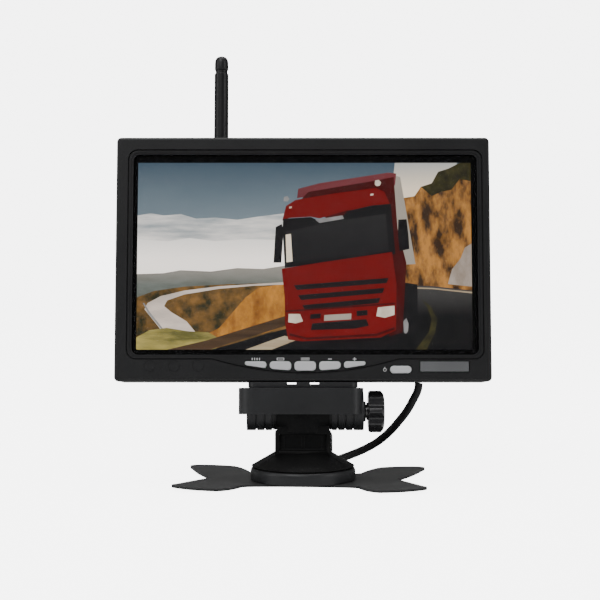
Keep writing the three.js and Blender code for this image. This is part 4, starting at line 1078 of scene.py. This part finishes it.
shape(19, chrome, (82, 60), (94.6, 62), (95.4, 60.4), (84, 58.4))
shape(19, glow, (68.4, 53), (70.8, 53.4), (71.6, 40.6), (68.8, 40.2))
shape(19, red, (66.6, 37.2), (84, 40), (117.4, 45), (119.4, 30), (119, 9), (112, 5.6), (76, 3.8),
      (69.6, 4.6), (68.2, 12),
      (68, 24))
for rise in (0, 4.6, 9.2):
    inset = rise / 2.4
    shape(20, black, (76 - inset, 20.4 + rise), (112 + inset, 23.8 + rise), (111 + inset, 21.4 + rise),
          (77.4 - inset, 18.2 + rise))
shape(20, deep_red, (68.4, 18), (118.8, 21.6), (118.8, 20.8), (68.4, 17.2))
shape(20, black, (80, 9), (80.6, 12), (105.4, 14), (106.6, 11), (100, 9.6))
shape(20, deep_red, (70.2, 7.6), (78, 5.6), (110, 7.4), (118.4, 10.4), (118.4, 9.2), (110, 6.2), (78, 4.6),
      (70.2, 6.4))
shape(20, black, (79.6, 14), (79.8, 16.2), (84.6, 16.6), (84.4, 14.4))
shape(20, black, (101, 15.4), (101, 17.8), (106, 18.2), (106, 15.8))
shape(21, lamp, (69.6, 12.6), (69.8, 16.4), (75, 16.4), (76.4, 13), (73, 12))
shape(21, lamp, (110, 15.4), (110.8, 19.4), (118.4, 20.2), (118.4, 16), (114, 14.6))
shape(21, black, (62.8, 40), (63.8, 56.6), (66.6, 58), (67.4, 55), (66.4, 40))
shape(21, black, (120.2, 53), (120.4, 60), (124.2, 60.2), (125, 53.4), (125.4, 46.4), (120.8, 45.4))
shape(22, canvas, (86, 13.2), (86.2, 15.9), (98.6, 16.6), (98.5, 13.9))
shape(22, lamp, (109.6, 76.4), (109.8, 78.2), (111.4, 78.6), (112.6, 77.4), (112, 75.9), (110.6, 75.6))
shape(22, chrome, (67.4, 68.6), (67.6, 70.6), (69.2, 71), (70.2, 69.6), (69.2, 68.4))
shape(22, lamp, (107.6, 72), (109, 72.2), (109, 71.4), (107.6, 71.2))
shape(22, lamp, (70, 66), (71.2, 66.2), (71.2, 65.4), (70, 65.2))
shape(22, chrome, (122.6, 8), (122.4, 13), (123.8, 14.5), (124.8, 12), (124.6, 8.6), (123.6, 7.2))
picture = joined(picture_parts, "lit_picture")
picture.matrix_world = head_place
bpy.ops.object.transform_apply()
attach(picture, "head")

# ---------------------------------------------------------------------------------------------------
# Rear cover: the same matt ABS as the front. Two columns of vents, five speaker slots, four sunk screws,
# a hole each for the antenna's jack and the lead, and a sunk panel with a blank label.
# ---------------------------------------------------------------------------------------------------
cover_x, cover_y, cover_z = box_mm("rear_cover", head_place)
BACK = cover_y[1]
REAR_INSIDE = BACK - WALL
THROUGH = (REAR_INSIDE - 0.5, BACK + 1)
cover = slab("rear_shell", cover_x, cover_y, cover_z, corner=2.4)
pick(cover, "FACE", lies_at(1, BACK))
bpy.ops.mesh.region_to_loop()
bpy.ops.mesh.bevel(offset=2.2 * MM, segments=5, affect="EDGES")
bpy.ops.object.mode_set(mode="OBJECT")
carve(cover, facing(*inner, middle, (cover_y[0] - 1, REAR_INSIDE), 1))
VENT_PITCH = 4
vents = []
for row in range(8):
    low = LOWER + 74 + row * VENT_PITCH
    vents += [slab("vent", (left, left + 22), THROUGH, (low, low + 1.8), corner=0.85,
                   steps=4) for left in (4, 28)]
SPEAKER = (50, LOWER + 40)
for row in (-2, -1, 0, 1, 2):
    offset = row * 4.6
    half = math.sqrt(14 ** 2 - offset ** 2) - 2.5
    vents.append(slab("speaker_slot", (SPEAKER[0] - half, SPEAKER[0] + half), THROUGH,
                      (SPEAKER[1] + offset - 0.9, SPEAKER[1] + offset + 0.9), corner=0.85, steps=4))
screw_nodes = [f"case_screw_{place}" for place in ("upper_left", "upper_right", "lower_left", "lower_right")]
screw_boxes = [box_mm(name, head_place) for name in screw_nodes]
screw_spots = [(middle_of(box[0]), middle_of(box[2])) for box in screw_boxes]
vents += [turned("screw_recess", [(0, BACK - 2.0), (2.6, BACK - 2.0), (2.9, BACK + 1), (0, BACK + 1)],
                 (x, 0, z), axis=1, steps=32) for x, z in screw_spots]
jack_x, jack_y, jack_z = box_mm("antenna_jack", head_place)
JACK = (middle_of(jack_x), middle_of(jack_z))
vents.append(turned("jack_hole", [(0, REAR_INSIDE - 1), (3.45, REAR_INSIDE - 1), (3.45, BACK + 1),
                                  (0, BACK + 1)],
                    (JACK[0], 0, JACK[1]), axis=1, steps=32))
carve(cover, *vents)
carve(cover, slab("label_panel", (-34, 26), (BACK - 0.35, BACK + 1), (LOWER + 14, LOWER + 44), corner=2))
grommet_x, grommet_y, grommet_z = box_mm("lead_grommet", head_place)
GROMMET = (middle_of(grommet_x), middle_of(grommet_y))
carve(cover, turned("grommet_hole", [(0, LOWER - 1), (3.6, LOWER - 1), (3.6, LOWER + WALL + 0.5),
                                     (0, LOWER + WALL + 0.5)], (*GROMMET, 0), steps=32))
fit(soften(cover, 0.14), "head", "case_plastic", abs_black, "rear_cover", place=head_place, angle=32)
label_foil = metal("blank_label_foil", (0.16, 0.16, 0.165), 0.5, grain=3000)
label = slab("blank_label", (-32.5, 24.5), (BACK - 0.35, BACK - 0.22), (LOWER + 15.5, LOWER + 42.5),
             corner=1.6)
fit(label, "head", "case_plastic", label_foil, place=head_place)

# ---------------------------------------------------------------------------------------------------
# Case screws: pan head steel screws with a cross recess, sunk in the rear cover's corners.
# ---------------------------------------------------------------------------------------------------
for name, (x, z) in zip(screw_nodes, screw_spots):
    seat, crown = BACK - 3.6, BACK - 2.15
    screw = turned("sunk_" + name, [(0, BACK - 9), (0.9, BACK - 9), (0.9, seat), (1.85, seat),
                                    (1.85, seat + 0.6),
                                    (1.5, crown - 0.2), (0.8, crown), (0, crown)], (x, 0, z), axis=1,
                   steps=28)
    slots = [slab("cross_long", (x - 1.05, x + 1.05), (crown - 0.7, crown + 1), (z - 0.2, z + 0.2))]
    carve(screw, *slots)
    carve(screw, slab("cross_short", (x - 0.2, x + 0.2), (crown - 0.7, crown + 1), (z - 1.05, z + 1.05)))
    fit(screw, "head", "steel", steel, name, place=head_place)

# ---------------------------------------------------------------------------------------------------
# Antenna: a gold plated jack through the cover with its hexagon nut, a moulded knuckle that swivels on
# it, and a rubber sleeved rod with a separate tip cap that folds on a steel pin.
# ---------------------------------------------------------------------------------------------------
gold_plate = metal("gold_plate", (0.80, 0.62, 0.30), 0.3)
thread = [(0, REAR_INSIDE - 2), (4.5, REAR_INSIDE - 2), (4.5, REAR_INSIDE - 0.3), (3.1, REAR_INSIDE - 0.3)]
turns = 11
pitch = (jack_y[1] - 0.6 - BACK) / turns
for turn in range(turns):
    base = BACK + turn * pitch
    thread += [(2.85, base), (3.12, base + 0.5 * pitch)]
thread += [(2.8, jack_y[1] - 0.5), (2.4, jack_y[1]), (0, jack_y[1])]
jack = turned("threaded_jack", thread, (JACK[0], 0, JACK[1]), axis=1, steps=40)
fit(jack, "head", "brass", gold_plate, "antenna_jack", place=head_place, angle=25)
fit(soften(from_solid("antenna_jack_nut", "jack_nut"), 0.18), "head", "brass", gold_plate,
    "antenna_jack_nut")

sleeve = moulded("antenna_sleeve", (0.011, 0.0113, 0.0125), 0.38, grain=1900, depth=0.02, edge_highlight=0.25,
                 dust=0.05)
knuckle = soften(from_solid("antenna_knuckle", "swivel_knuckle"), 0.25)
fit(knuckle, "antenna_base", "antenna_rubber", sleeve, "antenna_knuckle", angle=32)
rod_x, rod_y, rod_z = box_mm("antenna_rod", head_place)
cap_z = box_mm("antenna_cap", head_place)[2]
rod_spot = (middle_of(rod_x), middle_of(rod_y), 0)
root = rod_z[0] + 3.2 + 4.7
seam = rod_z[1] - 4.7
rod = turned("sleeved_rod", [
    (0, root), (3.0, root), (3.5, root + 0.25), (3.72, root + 0.9), (3.72, root + 7), (3.6, root + 7.5),
    (3.55, root + 14), (3.4, seam - 0.3), (3.25, seam), (2.9, seam + 0.15), (2.9, seam + 1.5),
    (0, seam + 1.5),
], rod_spot, steps=64)
tongue = slab("tongue", (rod_spot[0] - 1.4, rod_spot[0] + 1.4), (rod_spot[1] - 3.2, rod_spot[1] + 3.2),
              (rod_z[0], root + 0.5), corner=3.1, along=0, steps=10)
carve(rod, tongue, operation="UNION")
pin_hole = turned("pin_hole", [(0, rod_x[0]), (1.1, rod_x[0]), (1.1, rod_x[1]), (0, rod_x[1])],
                  (0, rod_spot[1], rod_z[0] + 3.2), axis=0, steps=24)
carve(rod, pin_hole)
fit(rod, "antenna_whip", "antenna_rubber", sleeve, "antenna_rod", place=head_place, angle=32)
low, high = cap_z
cap = turned("tip_cap", [
    (0, low + 3), (2.7, low + 3), (2.7, low + 0.1), (3.1, low), (3.3, low + 0.25), (3.34, low + 0.8),
    (3.3, high - 3.2),
    (3.1, high - 2), (2.6, high - 1), (1.8, high - 0.35), (0.9, high - 0.05), (0, high),
], rod_spot, steps=64)
fit(cap, "antenna_whip", "antenna_rubber", sleeve, "antenna_cap", place=head_place, angle=50)

# ---------------------------------------------------------------------------------------------------
# Grommet: soft PVC, moulded on the lead, with a groove that snaps into the case's lower wall.
# ---------------------------------------------------------------------------------------------------
low, high = grommet_z
grommet = turned("moulded_grommet", [
    (2.15, low + 0.1), (2.9, low + 0.02), (3.25, low + 0.35), (3.25, low + WALL + 0.3),
    (4.15, low + WALL + 0.35),
    (4.15, high - 0.3), (3.8, high), (2.15, high), (2.15, low + 0.1),
], (*GROMMET, 0), steps=40)
fit(grommet, "head", "lead_sheath", plug_rubber, "lead_grommet", place=head_place)

# ---------------------------------------------------------------------------------------------------
# Works: what shows through the vents and under the foot. The circuit boards are green with faint copper
# tracks under the lacquer, and the rest are plated steel, brass and black mouldings. The washer under the
# clamp knob is steel too, but blackened.
# ---------------------------------------------------------------------------------------------------
board, board_tree, board_shader = plain_material("green_board")
board_place = node(board_tree, "ShaderNodeTexCoord").outputs["Object"]
tracks = node(board_tree, "ShaderNodeTexBrick", Scale=160.0, offset=0.5)
set_inputs(tracks, {"Color1": (0.02, 0.11, 0.045, 1), "Color2": (0.03, 0.15, 0.06, 1),
                    "Mortar": (0.07, 0.26, 0.11, 1), "Mortar Size": 0.04})
connect(board_tree, board_place, tracks.inputs["Vector"])
connect(board_tree, tracks.outputs["Color"], board_shader.inputs["Base Color"])
board_tone = place_group(board_tree, mould_grain, Scale=800.0)
connect(board_tree, math_step(board_tree, "MULTIPLY", board_tone.outputs["Tone"], 0.7),
        board_shader.inputs["Roughness"])
moulded_black = moulded("part_black", (0.02, 0.02, 0.02), 0.55, grain=1200, edge_highlight=0.1, dust=0.0)
FINISHES = {"steel": steel, "component_black": moulded_black, "circuit_board": board, "brass": gold_plate}
replaced = {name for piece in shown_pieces() for name in piece.get("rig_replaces", [])}
for row in frame["record"]["subparts"]:
    solid = frame["nodes"][row["node"]]
    if row["node"] not in replaced and row["material_slot"] in FINISHES:
        solid.data.materials.clear()
        solid.data.materials.append(FINISHES[row["material_slot"]])
blackened = frame["nodes"]["clamp_washer"].data.materials
blackened.clear()
blackened.append(moulded_black)
